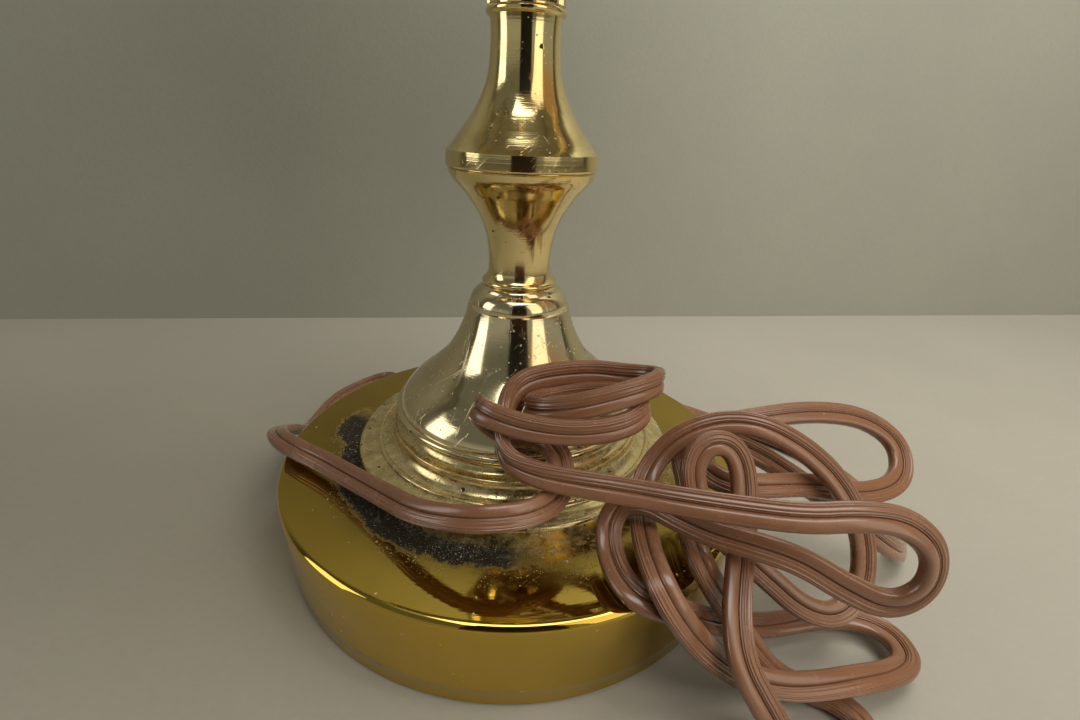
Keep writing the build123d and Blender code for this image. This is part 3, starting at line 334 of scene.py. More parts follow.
def spline_line(name, route):
    """Points read along a smooth NURBS curve whose control points are the route."""
    curve = bpy.data.curves.new(name, "CURVE")
    curve.dimensions = "3D"
    curve.resolution_u = LINE_STEPS
    spline = curve.splines.new("NURBS")
    spline.points.add(len(route) - 1)
    for knot, place in zip(spline.points, route):
        knot.co = (*place, 1)
    spline.order_u = 3
    spline.use_endpoint_u = True
    holder = bpy.data.objects.new(name, curve)
    mesh = bpy.data.meshes.new_from_object(holder)
    line = []
    for vertex in mesh.vertices:
        if not line or (vertex.co - line[-1]).length > LEAST_STEP:
            line.append(vertex.co.copy())
    bpy.data.meshes.remove(mesh)
    bpy.data.objects.remove(holder)
    bpy.data.curves.remove(curve)
    return line


def carried_frames(line, wishes):
    """The way, side and face at each point, with the face turning slowly towards its wish."""
    frames = []
    face = wishes[0]
    for i, here in enumerate(line):
        way = (line[min(i + 1, len(line) - 1)] - line[max(i - 1, 0)]).normalized()
        face = (face - way * face.dot(way)).normalized()
        wish = wishes[i] - way * wishes[i].dot(way)
        if wish.dot(face) < 0:
            wish = -wish
        face = (face + wish * FACE_PULL).normalized()
        frames.append((way, way.cross(face), face))
    return frames


def swept_faces(rings, around, closed_ends=True):
    """Faces of a tube with so many rings of so many points."""
    faces = []
    for i in range(rings - 1):
        low = i * around
        for j in range(around):
            k = (j + 1) % around
            faces.append((low + j, low + k, low + around + k, low + around + j))
    if closed_ends:
        faces.append(tuple(reversed(range(around))))
        faces.append(tuple(range((rings - 1) * around, rings * around)))
    return faces


def twin_section(width, thickness):
    """Half of it is a smooth conductor, the other half is finely ribbed."""
    radius = thickness / 2
    offset = width / 2 - radius
    section = []
    for outward_side, steps, depth in ((-1, 22, 0.0), (1, 90, RIB_DEPTH)):
        for i in range(steps + 1):
            angle = outward_side * CONDUCTOR_SWEEP * (2 * i / steps - 1)
            reach = radius * (1 - depth * (0.5 - 0.5 * cos(RIB_COUNT * angle)))
            across = copysign(abs(cos(angle)) ** (2 / FULLNESS), cos(angle))
            deep = copysign(abs(sin(angle)) ** (2 / FULLNESS), sin(angle))
            section.append((outward_side * (offset + reach * across), reach * deep))
    return section


class Profile:
    """The outline of a turned piece, as radius and height in millimetres."""

    def __init__(self, radius, height):
        self.points = [Vector((radius, height))]

    def line(self, *corners):
        """Straight lines through the corners."""
        self.points += [Vector(corner) for corner in corners]
        return self

    def arc(self, via, end, steps=8):
        """A round arc from the last point through via to end."""
        start, via, end = self.points[-1], Vector(via), Vector(end)
        first, second = via - start, end - start
        twice = 2 * (first.x * second.y - first.y * second.x)
        reach = Vector((
            second.y * first.length_squared - first.y * second.length_squared,
            first.x * second.length_squared - second.x * first.length_squared)) / twice
        centre = start + reach
        spoke = start - centre
        turn = (end - centre).angle_signed(spoke)
        if (via - centre).angle_signed(spoke) * turn < 0:
            turn -= 2 * pi * (1 if turn > 0 else -1)
        for i in range(1, steps + 1):
            angle = turn * i / steps
            along = Vector((
                spoke.x * cos(angle) - spoke.y * sin(angle), spoke.x * sin(angle) + spoke.y * cos(angle)))
            self.points.append(centre + along)
        return self

    def flow(self, leave, arrive, *knots, steps=10):
        """A smooth curve through the knots, in the given ways at its ends."""
        stops = [self.points[-1]] + [Vector(knot) for knot in knots]
        ways = [Vector(leave).normalized()]
        ways += [(after - before).normalized() for before, after in zip(stops, stops[2:])]
        ways.append(Vector(arrive).normalized())
        for i in range(len(stops) - 1):
            span = (stops[i + 1] - stops[i]).length
            for k in range(1, steps + 1):
                t = k / steps
                rest = 1 - t
                near = stops[i] * (rest * rest * (1 + 2 * t)) + ways[i] * (span * t * rest * rest)
                far = stops[i + 1] * (t * t * (3 - 2 * t)) - ways[i + 1] * (span * t * t * rest)
                self.points.append(near + far)
        return self

    def hollow(self, wall):
        """The same outline with an inner one behind it, so that the piece has a wall."""
        inner = []
        for i, here in enumerate(self.points):
            way = self.points[min(i + 1, len(self.points) - 1)] - self.points[max(i - 1, 0)]
            way.normalize()
            inner.append(here + Vector((-way.y, way.x)) * wall)
        self.points += reversed(inner)
        return self


def top_of(node):
    """Height of a node's top above the table, in millimetres."""
    return round(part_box(node)[1].z / MM, 2)


def turned(name, profile, finish, nodes, ripple):
    """A piece spun on the lathe, with the slight waves that hand polishing leaves."""
    points = []
    for i in range(TURNED_SEGMENTS):
        angle = 2 * pi * i / TURNED_SEGMENTS
        for spot in profile.points:
            wave = sin(3 * angle + 0.4 + 0.05 * spot.y) + 0.5 * sin(7 * angle - 0.11 * spot.y)
            radius = spot.x * (1 + ripple * wave) * MM
            points.append((radius * cos(angle), radius * sin(angle), spot.y * MM))
    around = len(profile.points)
    faces = []
    for i in range(TURNED_SEGMENTS):
        low, high = i * around, (i + 1) % TURNED_SEGMENTS * around
        for j in range(around):
            k = (j + 1) % around
            faces.append((low + j, high + j, high + k, low + k))
    return mesh_piece(name, points, faces, [finish_named(finish)], nodes, crease=35)


# Shader helpers


class Graph:
    """Adds nodes to one node tree and joins them."""

    def __init__(self, tree):
        self.tree = tree

    def node(self, kind, inputs=None, **settings):
        """A new node with its settings, and its inputs linked or set."""
        node = self.tree.nodes.new(kind)
        for name, value in settings.items():
            setattr(node, name, value)
        for socket, value in (inputs or {}).items():
            if isinstance(value, bpy.types.NodeSocket):
                self.tree.links.new(value, node.inputs[socket])
            else:
                node.inputs[socket].default_value = value
        return node

    def math(self, operation, first, second=0.0, third=0.0):
        """The result of a sum on single values."""
        return self.node("ShaderNodeMath", {0: first, 1: second, 2: third}, operation=operation).outputs[0]

    def scaled(self, vector, factors):
        """The vector times its factors."""
        return self.node("ShaderNodeVectorMath", {0: vector, 1: factors}, operation="MULTIPLY").outputs[0]

    def ramp(self, value, low, high, to_low=0.0, to_high=1.0):
        """A soft step from to_low to to_high as the value goes from low to high."""
        inputs = {"Value": value, "From Min": low, "From Max": high, "To Min": to_low, "To Max": to_high}
        return self.node("ShaderNodeMapRange", inputs, interpolation_type="SMOOTHSTEP").outputs[0]

    def mix(self, factor, first, second):
        """The first colour, or the second one where the factor is 1."""
        inputs = {0: factor}
        for socket, value in ((6, first), (7, second)):
            if not isinstance(value, bpy.types.NodeSocket):
                value = (*value[:3], 1)
            inputs[socket] = value
        return self.node("ShaderNodeMix", inputs, data_type="RGBA").outputs[2]

    def noise(self, vector, scale, detail=3.0, rough=0.55):
        """Cloudy noise from 0 to 1."""
        inputs = {"Vector": vector, "Scale": scale, "Detail": detail, "Roughness": rough}
        return self.node("ShaderNodeTexNoise", inputs).outputs[0]

    def group(self, tree, **values):
        """The output of a shared node group with the given inputs."""
        node = self.node("ShaderNodeGroup", node_tree=tree)
        for name, value in values.items():
            socket = node.inputs[name.replace("_", " ").capitalize()]
            if isinstance(value, bpy.types.NodeSocket):
                self.tree.links.new(value, socket)
            else:
                socket.default_value = value
        return node.outputs[0]


def new_group(name, inputs, output):
    """An empty node group with a vector input, named value inputs and one output."""
    tree = bpy.data.node_groups.new(name, "ShaderNodeTree")
    tree.interface.new_socket(name="Vector", in_out="INPUT", socket_type="NodeSocketVector")
    for title, default in inputs.items():
        socket = tree.interface.new_socket(name=title, in_out="INPUT", socket_type="NodeSocketFloat")
        socket.default_value = default
    tree.interface.new_socket(name=output, in_out="OUTPUT", socket_type="NodeSocketFloat")
    graph = Graph(tree)
    return graph, graph.node("NodeGroupInput").outputs, graph.node("NodeGroupOutput").inputs


def patches_group():
    """Soft cloudy patches, for stains and thin dust."""
    graph, given, result = new_group("Patches", {"Scale": 60.0, "Low": 0.4, "High": 0.6}, "Mask")
    cloud = graph.noise(given["Vector"], given["Scale"], 5.0, 0.6)
    graph.tree.links.new(graph.ramp(cloud, given["Low"], given["High"]), result[0])
    return graph.tree


def flecks_group():
    """Scattered round flecks of a given size, for specks and pits."""
    graph, given, result = new_group("Flecks", {"Scale": 500.0, "Size": 0.25, "Share": 0.3}, "Mask")
    wobble = graph.node("ShaderNodeTexNoise", {"Vector": given["Vector"], "Scale": 900.0}).outputs[1]
    bent = graph.node(
        "ShaderNodeVectorMath", {0: wobble, 1: (0.0008, 0.0008, 0.0008), 2: given["Vector"]},
        operation="MULTIPLY_ADD").outputs[0]
    cells = graph.node("ShaderNodeTexVoronoi", {"Vector": bent, "Scale": given["Scale"]})
    draw = graph.node("ShaderNodeSeparateColor", {0: cells.outputs["Color"]}).outputs
    chosen = graph.math("LESS_THAN", draw[0], given["Share"])
    size = graph.math("MULTIPLY", graph.ramp(draw[1], 0.0, 1.0, 0.35, 1.0), given["Size"])
    inside = graph.ramp(cells.outputs["Distance"], graph.math("MULTIPLY", size, 0.6), size, 1.0, 0.0)
    graph.tree.links.new(graph.math("MULTIPLY", chosen, inside), result[0])
    return graph.tree


def hairlines_group():
    """Fine straight scratches in three directions."""
    graph, given, result = new_group("Hairlines", {"Scale": 30.0, "Edge": 0.63}, "Mask")
    lines = []
    for turn, shift in (((0.3, 0.5, 0.2), 0.0), ((1.2, -0.4, 0.9), 3.1), ((-0.7, 0.9, 1.9), 7.7)):
        turned_to = graph.node(
            "ShaderNodeVectorRotate", {"Vector": given["Vector"], "Rotation": turn},
            rotation_type="EULER_XYZ").outputs[0]
        drawn = graph.scaled(turned_to, (1.0, 38.0, 9.0))
        moved = graph.node("ShaderNodeVectorMath", {0: drawn, 1: (shift, shift, shift)}).outputs[0]
        streak = graph.noise(moved, given["Scale"], 2.0, 0.5)
        top = graph.math("ADD", given["Edge"], 0.03)
        lines.append(graph.ramp(streak, given["Edge"], top))
    both = graph.math("MAXIMUM", lines[0], lines[1])
    graph.tree.links.new(graph.math("MAXIMUM", both, lines[2]), result[0])
    return graph.tree


def spinning_group():
    """Fine circular lines round the stem's axis, as spinning and turning leave them."""
    graph, given, result = new_group("Spinning lines", {"Pitch": 2600.0}, "Height")
    apart = graph.node("ShaderNodeSeparateXYZ", {0: given["Vector"]}).outputs
    square = graph.math("MULTIPLY_ADD", apart[0], apart[0], graph.math("MULTIPLY", apart[1], apart[1]))
    radius = graph.math("SQRT", square)
    flat = graph.node("ShaderNodeCombineXYZ", {0: radius, 1: apart[2]}).outputs[0]
    lines = graph.noise(flat, given["Pitch"], 2.0, 0.6)
    graph.tree.links.new(lines, result[0])
    return graph.tree


GROUP_MAKERS = {
    "Patches": patches_group,
    "Flecks": flecks_group,
    "Hairlines": hairlines_group,
    "Spinning lines": spinning_group,
}


def effect(name):
    """A shared node group, made the first time it is asked for."""
    return bpy.data.node_groups.get(name) or GROUP_MAKERS[name]()


def new_material(name):
    """A material with its graph, its surface shader and its object coordinates."""
    material = bpy.data.materials.new("lamp_" + name)
    material.use_nodes = True
    graph = Graph(material.node_tree)
    surface = material.node_tree.nodes["Principled BSDF"]
    place = graph.node("ShaderNodeTexCoord").outputs["Object"]
    return material, graph, surface, place


def set_surface(graph, surface, colour_value, rough, metallic=0.0, bump=None, lift=0.0002, **fixed):
    """Joins the changing values to the surface shader and sets its fixed ones."""
    changing = {"Base Color": colour_value, "Roughness": rough, "Metallic": metallic}
    if bump is not None:
        inputs = {"Height": bump, "Strength": 1.0, "Distance": lift}
        changing["Normal"] = graph.node("ShaderNodeBump", inputs).outputs[0]
    for socket, value in changing.items():
        if isinstance(value, bpy.types.NodeSocket):
            graph.tree.links.new(value, surface.inputs[socket])
        elif isinstance(value, (tuple, list)):
            surface.inputs[socket].default_value = (*value[:3], 1)
        else:
            surface.inputs[socket].default_value = value
    for socket, value in fixed.items():
        surface.inputs[socket.replace("_", " ")].default_value = value


def shade_of(tint, factor):
    """The tint made darker or lighter by a factor."""
    return tuple(min(1.0, part * factor) for part in tint[:3])


DUST = (0.42, 0.34, 0.19)
SOOT = (0.0045, 0.0045, 0.004)
PIT = (0.07, 0.04, 0.012)


def brass(name, tint, rough, wear, pits, scratches, lines, dust, film=0.0):
    """Lacquered brass with cloudy lacquer, hairline scratches, pits and a little dust."""
    material, graph, surface, place = new_material(name)
    clouds = graph.group(effect("Patches"), vector=place, scale=55.0, low=0.35, high=0.7)
    stain = graph.group(effect("Patches"), vector=place, scale=210.0, low=0.52, high=0.68)
    scratched = graph.group(effect("Hairlines"), vector=place, scale=26.0, edge=0.66)
    pitted = graph.group(effect("Flecks"), vector=place, scale=420.0, size=0.3, share=pits)
    dusty = graph.group(effect("Flecks"), vector=place, scale=900.0, size=0.34, share=dust)
    spun = graph.group(effect("Spinning lines"), vector=place, pitch=2400.0)
    tone = graph.mix(graph.math("MULTIPLY", clouds, wear), tint, shade_of(tint, 0.72))
    tone = graph.mix(graph.math("MULTIPLY", stain, 0.6 * wear), tone, shade_of(tint, 0.45))
    settled = graph.noise(place, 330.0, 5.0, 0.7)
    settled = graph.math("MULTIPLY", graph.ramp(settled, 0.36, 0.66), film)
    tone = graph.mix(settled, tone, DUST)
    tone = graph.mix(pitted, tone, PIT)
    tone = graph.mix(graph.math("MULTIPLY", dusty, 0.7), tone, DUST)
    gloss = graph.math("MULTIPLY_ADD", clouds, 0.07, rough)
    gloss = graph.math("MULTIPLY_ADD", scratched, 0.12 * scratches, gloss)
    gloss = graph.math("MULTIPLY_ADD", graph.math("MAXIMUM", pitted, dusty), 0.45, gloss)
    gloss = graph.math("MULTIPLY_ADD", settled, 0.3, gloss)
    metal = graph.math("SUBTRACT", 1.0, graph.math("MAXIMUM", settled, graph.math("MULTIPLY", dusty, 0.8)))
    height = graph.math("MULTIPLY", spun, lines)
    height = graph.math("SUBTRACT", height, graph.math("MULTIPLY", scratched, 0.25 * scratches))
    height = graph.math("SUBTRACT", height, graph.math("MULTIPLY", pitted, 1.2))
    wave = graph.math("MULTIPLY", graph.noise(place, 38.0, 1.0), 2.0)
    height = graph.math("ADD", height, wave)
    set_surface(graph, surface, tone, gloss, metal, height, 0.00006)
    return material


# The sooty ring on the base, in metres from the axis, and in radians from the front left
SOOT_BEGINS = (radians(-64), radians(-57))
SOOT_ENDS = (radians(44), radians(62))
SOOT_WIDENS = (radians(-36), radians(-50))
SOOT_REACH = 0.0572
SOOT_REACH_LEFT = 0.0612
CRUST_REACH = 0.0525
BASE_TOP_STARTS = 0.0275


def base_brass(name, tint):
    """The round base: olive lacquer with a sooty ring and dust round the foot."""
    material, graph, surface, place = new_material(name)
    apart = graph.node("ShaderNodeSeparateXYZ", {0: place}).outputs
    square = graph.math("MULTIPLY_ADD", apart[0], apart[0], graph.math("MULTIPLY", apart[1], apart[1]))
    radius = graph.math("SQRT", square)
    on_top = graph.ramp(apart[2], BASE_TOP_STARTS, BASE_TOP_STARTS + 0.5 * MM)
    swing = graph.math("ARCTAN2", graph.math("SUBTRACT", apart[0], apart[1]),
                       graph.math("MULTIPLY", graph.math("ADD", apart[0], apart[1]), -1.0))
    wander = graph.noise(place, 60.0, 6.0, 0.65)
    swing = graph.math("MULTIPLY_ADD", wander, 0.4, graph.math("SUBTRACT", swing, 0.2))
    begins = graph.ramp(swing, *SOOT_BEGINS)
    ends = graph.ramp(swing, *SOOT_ENDS, 1.0, 0.0)
    share = graph.math("MULTIPLY", graph.math("MULTIPLY", begins, ends), on_top)
    ragged = graph.math("MULTIPLY_ADD", wander, 0.011, graph.math("SUBTRACT", radius, 0.0075))
    ragged = graph.math("MULTIPLY_ADD", graph.noise(place, 800.0, 3.0, 0.7), 0.004, ragged)
    reach = graph.ramp(swing, *SOOT_WIDENS, SOOT_REACH, SOOT_REACH_LEFT)
    soot = graph.ramp(graph.math("SUBTRACT", ragged, reach), -0.0010, 0.0012, 1.0, 0.0)
    soot = graph.math("MULTIPLY", soot, share)
    front = graph.math("MULTIPLY", graph.ramp(apart[1], 0.03, -0.02), on_top)
    haze = graph.ramp(graph.math("SUBTRACT", ragged, reach), -0.002, 0.009, 1.0, 0.0)
    haze = graph.math("MULTIPLY", haze, front)
    crust = graph.ramp(ragged, CRUST_REACH, CRUST_REACH + 2 * MM, 1.0, 0.0)
    crust = graph.math("MULTIPLY", crust, front)
    grains = graph.group(effect("Flecks"), vector=place, scale=1300.0, size=0.38, share=0.35)
    fine = graph.group(effect("Flecks"), vector=place, scale=2600.0, size=0.4, share=0.5)
    crumbs = graph.math("MAXIMUM", grains, graph.math("MULTIPLY", fine, 0.7))
    near = graph.ramp(graph.noise(place, 130.0, 3.0), 0.42, 0.6)
    crumbs = graph.math("MULTIPLY", crumbs, graph.math("MULTIPLY", haze, near))
    crust = graph.math("MULTIPLY", crust, graph.math("MULTIPLY_ADD", soot, -0.75, 1.0))
    crusted = graph.math("MULTIPLY", crust, graph.ramp(graph.noise(place, 420.0, 4.0, 0.7), 0.5, 0.62))
    crumbs = graph.math("MAXIMUM", crumbs, graph.math("MULTIPLY", crusted, 0.45))
    dots = graph.group(effect("Flecks"), vector=place, scale=2300.0, size=0.36, share=0.3)
    crumbs = graph.math("MAXIMUM", crumbs, graph.math("MULTIPLY", dots, graph.math("MULTIPLY", soot, 0.8)))
    stray = graph.group(effect("Flecks"), vector=place, scale=430.0, size=0.2, share=0.12)
    crumbs = graph.math("MAXIMUM", crumbs, graph.math("MULTIPLY", stray, 0.6))
    clouds = graph.group(effect("Patches"), vector=place, scale=40.0, low=0.3, high=0.75)
    scratched = graph.group(effect("Hairlines"), vector=place, scale=22.0, edge=0.66)
    spun = graph.group(effect("Spinning lines"), vector=place, pitch=1900.0)
    tone = graph.mix(graph.math("MULTIPLY", clouds, 0.35), tint, shade_of(tint, 0.78))
    tone = graph.mix(graph.math("MULTIPLY", haze, 0.5), tone, (0.20, 0.13, 0.05))
    tone = graph.mix(graph.math("MULTIPLY", soot, 0.96), tone, SOOT)
    tone = graph.mix(crumbs, tone, (0.60, 0.55, 0.42))
    gloss = graph.math("MULTIPLY_ADD", clouds, 0.025, 0.03)
    gloss = graph.math("MULTIPLY_ADD", scratched, 0.05, gloss)
    gloss = graph.math("MULTIPLY_ADD", haze, 0.15, gloss)
    gloss = graph.math("MULTIPLY_ADD", graph.math("MAXIMUM", soot, crumbs), 0.8, gloss)
    covered = graph.math("MAXIMUM", graph.math("MULTIPLY", soot, 0.95), crumbs)
    metal = graph.math("SUBTRACT", 1.0, covered)
    height = graph.math("MULTIPLY", spun, 0.12)
    height = graph.math("MULTIPLY_ADD", crumbs, 3.0, height)
    height = graph.math("MULTIPLY_ADD", graph.noise(place, 18.0, 1.0), 2.5, height)
    rough_soot = graph.math("MULTIPLY", soot, graph.noise(place, 900.0, 4.0))
    height = graph.math("MULTIPLY_ADD", rough_soot, 3.0, height)
    set_surface(graph, surface, tone, gloss, metal, height, 0.00006)
    return material


def plain(name, tint, other, rough, scale=300.0, metallic=0.0, grain=0.5, lift=0.00005, **fixed):
    """A finish with a mottled colour, an uneven gloss and a fine grain."""
    material, graph, surface, place = new_material(name)
    mottle = graph.group(effect("Patches"), vector=place, scale=scale, low=0.3, high=0.7)
    specks = graph.group(effect("Flecks"), vector=place, scale=3.0 * scale, size=0.3, share=0.15)
    tone = graph.mix(mottle, tint, other)
    tone = graph.mix(graph.math("MULTIPLY", specks, 0.5), tone, shade_of(DUST, 0.8))
    gloss = graph.math("MULTIPLY_ADD", mottle, 0.12, rough)
    height = graph.math("MULTIPLY", graph.noise(place, 6.0 * scale, 4.0), grain)
    set_surface(graph, surface, tone, gloss, metallic, height, lift, **fixed)
    return material


def vinyl(name, tint):
    """Soft brown vinyl: satin, handled, a little dusty in places."""
    material, graph, surface, place = new_material(name)
    handled = graph.group(effect("Patches"), vector=place, scale=70.0, low=0.35, high=0.7)
    specks = graph.group(effect("Flecks"), vector=place, scale=650.0, size=0.22, share=0.05)
    tone = graph.mix(handled, shade_of(tint, 0.92), shade_of(tint, 1.08))
    tone = graph.mix(graph.math("MULTIPLY", specks, 0.6), tone, (0.36, 0.27, 0.2))
    gloss = graph.math("MULTIPLY_ADD", handled, 0.05, 0.24)
    height = graph.noise(place, 1800.0, 2.0)
    set_surface(graph, surface, tone, gloss, 0.0, height, 0.000008, Coat_Weight=0.7, Coat_Roughness=0.18)
    return material


def cased_glass(name, tint):
    """Green glass outside and opal white inside, told apart by how far out the surface lies."""
    material, graph, surface, place = new_material(name)
    facing = graph.node("ShaderNodeTexCoord").outputs["Normal"]
    low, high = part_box("shade_glass")
    middle = (low + high) / 2
    middle.z = low.z + 0.35 * (high.z - low.z)
    from_middle = graph.node("ShaderNodeVectorMath", {0: place, 1: middle}, operation="SUBTRACT").outputs[0]
    outside = graph.node("ShaderNodeVectorMath", {0: from_middle, 1: facing}, operation="DOT_PRODUCT")
    green = graph.ramp(outside.outputs["Value"], 0.0, 0.0004)
    swirl = graph.group(effect("Patches"), vector=place, scale=22.0, low=0.3, high=0.75)
    seeds = graph.group(effect("Flecks"), vector=place, scale=260.0, size=0.12, share=0.2)
    skin = graph.mix(swirl, tint, shade_of(tint, 1.25))
    skin = graph.mix(graph.math("MULTIPLY", seeds, 0.25), skin, shade_of(tint, 3.0))
    opal = graph.mix(swirl, (0.80, 0.79, 0.74), (0.86, 0.85, 0.81))
    tone = graph.mix(green, opal, skin)
    gloss = graph.math("MULTIPLY_ADD", swirl, 0.03, 0.05)
    height = graph.noise(place, 30.0, 2.0)
    set_surface(graph, surface, tone, gloss, 0.0, height, 0.0002, Coat_Weight=0.25)
    surface.inputs["Coat Roughness"].default_value = 0.03
    return material


def clear_glass(name):
    """Clear blown glass with slight waves and a little dust."""
    material, graph, surface, place = new_material(name)
    film = graph.group(effect("Patches"), vector=place, scale=90.0, low=0.45, high=0.8)
    tone = graph.mix(film, (0.97, 0.98, 0.97), (0.88, 0.89, 0.86))
    gloss = graph.math("MULTIPLY_ADD", film, 0.05, 0.01)
    height = graph.noise(place, 45.0, 1.0)
    set_surface(graph, surface, tone, gloss, 0.0, height, 0.0001, Transmission_Weight=1.0, IOR=1.45)
    return material


def make_materials():
    """Every finish, under the name of the record's material slot."""
    finish = bpy.context.scene.lamp_finish
    brown = tuple(finish.cord_brown)
    return {
        "gold_brass": base_brass("gold_brass", tuple(finish.base_brass)),
        "dusty_brass": brass(
            "dusty_brass", tuple(finish.foot_brass), rough=0.13, wear=0.8, pits=0.25, scratches=0.3,
            lines=0.5, dust=0.35, film=0.36),
        "pale_brass": brass(
            "pale_brass", tuple(finish.bell_brass), rough=0.085, wear=0.3, pits=0.05, scratches=1.0,
            lines=0.3, dust=0.25),
        "lacquered_brass": brass(
            "lacquered_brass", tuple(finish.stem_brass), rough=0.075, wear=0.3, pits=0.06,
            scratches=0.5, lines=0.3, dust=0.12),
        "spring_brass": brass(
            "spring_brass", (0.83, 0.66, 0.36), rough=0.2, wear=0.4, pits=0.02, scratches=0.4,
            lines=0.6, dust=0.1),
        "cast_weight": plain("cast_weight", (0.07, 0.065, 0.06), (0.12, 0.1, 0.085), 0.6, lift=0.0003),
        "felt": plain("felt", (0.012, 0.045, 0.02), (0.022, 0.07, 0.033), 0.85, 900.0, grain=1.0,
                      lift=0.0005, Sheen_Weight=0.6),
        "zinc_steel": plain("zinc_steel", (0.56, 0.57, 0.56), (0.42, 0.42, 0.40), 0.28, metallic=1.0),
        "fibre_paper": plain("fibre_paper", (0.20, 0.115, 0.055), (0.27, 0.17, 0.09), 0.7, grain=0.8),
        "black_phenolic": plain("black_phenolic", (0.012, 0.010, 0.009), (0.022, 0.018, 0.015), 0.3),
        "black_glass": plain("black_glass", (0.008, 0.008, 0.010), (0.015, 0.015, 0.018), 0.08),
        "nickel_cap": plain("nickel_cap", (0.78, 0.78, 0.76), (0.66, 0.65, 0.62), 0.25, metallic=1.0),
        "solder": plain("solder", (0.50, 0.50, 0.49), (0.36, 0.36, 0.35), 0.35, metallic=1.0),
        "bulb_glass": clear_glass("bulb_glass"),
        "cased_glass": cased_glass("cased_glass", tuple(finish.shade_green)),
        "brown_vinyl": vinyl("brown_vinyl", brown),
        "wire_vinyl": vinyl("wire_vinyl", shade_of(brown, 0.8)),
    }


def finish_named(slot):
    """The material made for a slot of the record."""
    return bpy.data.materials["lamp_" + slot]


# Operators, one for each piece or group of like pieces


class LAMP_OT_camera(bpy.types.Operator):
    """Place the camera where the photograph was taken from"""

    bl_idname = "lamp.camera"
    bl_label = "Camera"

    def execute(self, context):
        back = CAMERA_RIGHT.cross(CAMERA_UP)
        turn = Matrix((CAMERA_RIGHT, CAMERA_UP, back)).transposed().to_4x4()
        data = bpy.data.cameras.new("camera")
        data.sensor_fit = "HORIZONTAL"
        data.sensor_width = 36.0
        data.lens = CAMERA_LENS
        data.clip_start = 0.005
        camera = bpy.data.objects.new("camera", data)
        camera.matrix_world = Matrix.Translation(CAMERA_PLACE) @ turn
        context.scene.collection.objects.link(camera)
        context.scene.camera = camera
        return {"FINISHED"}


class LAMP_OT_finishes(bpy.types.Operator):
    """Make the materials and give each piece of the frame its own"""

    bl_idname = "lamp.finishes"
    bl_label = "Finishes"

    def execute(self, context):
        made = make_materials()
        slots = {part["node"]: part["material_slot"] for part in frame["record"]["subparts"]}
        for node, piece in frame["nodes"].items():
            piece.data.materials.clear()
            piece.data.materials.append(made[slots[node]])
        return {"FINISHED"}


class LAMP_OT_cord(bpy.types.Operator):
    """Lay the flat twin cord along its route, from the bushing to the plug"""

    bl_idname = "lamp.cord"
    bl_label = "Cord"

    def execute(self, context):
        sizes = context.scene.lamp_sizes
        stretches = [lead_route, hank_route, run_route, low_route, arch_route, fold_route, tail_route]
        route = [place for stretch in stretches for place in stretch]
        line = spline_line("cord_line", route)
        hank_axis = HANK_CENTRE + HANK_DRIFT
        first_hank = len(lead_route)
        last_hank = first_hank + len(hank_route)
        wishes = []
        for i, here in enumerate(line):
            knot = i * (len(route) - 1) / (len(line) - 1)
            if first_hank <= knot <= last_hank:
                away = Vector((here.x - hank_axis.x, 2 * (here.y - hank_axis.y), 0))
                wishes.append(away.normalized())
            elif here.z < TABLE_LEVEL:
                wishes.append(UP)
            else:
                wishes.append(FRONT_UP)
        frames = carried_frames(line, wishes)
        section = twin_section(sizes.cord_width, sizes.cord_thickness)
        points = []
        for here, (way, side, face) in zip(line, frames):
            ring = [here + side * across + face * deep for across, deep in section]
            lift = max(0.0, TABLE_GAP - min(point.z for point in ring))
            points += [point + UP * lift for point in ring]
        faces = swept_faces(len(line), len(section))
        nodes = ["cord_lead", "cord_hank", "cord_run", "cord_low", "cord_arch", "cord_fold", "cord_tail"]
        finish = [finish_named("brown_vinyl")]
        cord = mesh_piece("cord", points, faces, finish, nodes, crease=65)
        return {"FINISHED"}


class LAMP_OT_base(bpy.types.Operator):
    """Spin the round base with its rolled upper edge"""

    bl_idname = "lamp.base"
    bl_label = "Base"

    def execute(self, context):
        top = top_of("base_shell")
        outline = Profile(PIPE_BORE, top).line((40, top), (55, top), (72.6, top))
        outline.arc((74.0, 27.7), (74.62, 26.35)).line((74.1, 16.5), (73.35, 6.7))
        outline.arc((73.32, 5.9), (73.0, 5.2), 4).line((72.9, 0.8), (71.7, 0.8), (73.3, 25.0), (71.7, 27.1))
        outline.line((PIPE_BORE, 27.1))
        turned("base", outline, "gold_brass", ["base_shell"], 0.0002)
        return {"FINISHED"}


class LAMP_OT_foot(bpy.types.Operator):
    """Spin the stepped foot that carries the bell"""

    bl_idname = "lamp.foot"
    bl_label = "Foot"

    def execute(self, context):
        rim, top = 50.3, top_of("foot_flange")
        outline = Profile(rim, top_of("base_shell")).line((rim, 33.4)).arc((49.949, 34.249), (49.1, 34.6))
        outline.flow((-1, 0.05), (-1, 0.9), (46.95, 35.3), (44.5, 36.0))
        outline.arc((43.9, 37.0), (42.9, 36.5)).arc((40.4, 37.7), (39.4, 40.25), 12)
        outline.arc((39.3, 40.9), (38.5, 40.85)).arc((36.3, 41.85), (35.8, top), 12)
        outline.line((PIPE_BORE, top)).hollow(0.9)
        turned("foot", outline, "dusty_brass", ["foot_flange"], 0.0005)
        return {"FINISHED"}


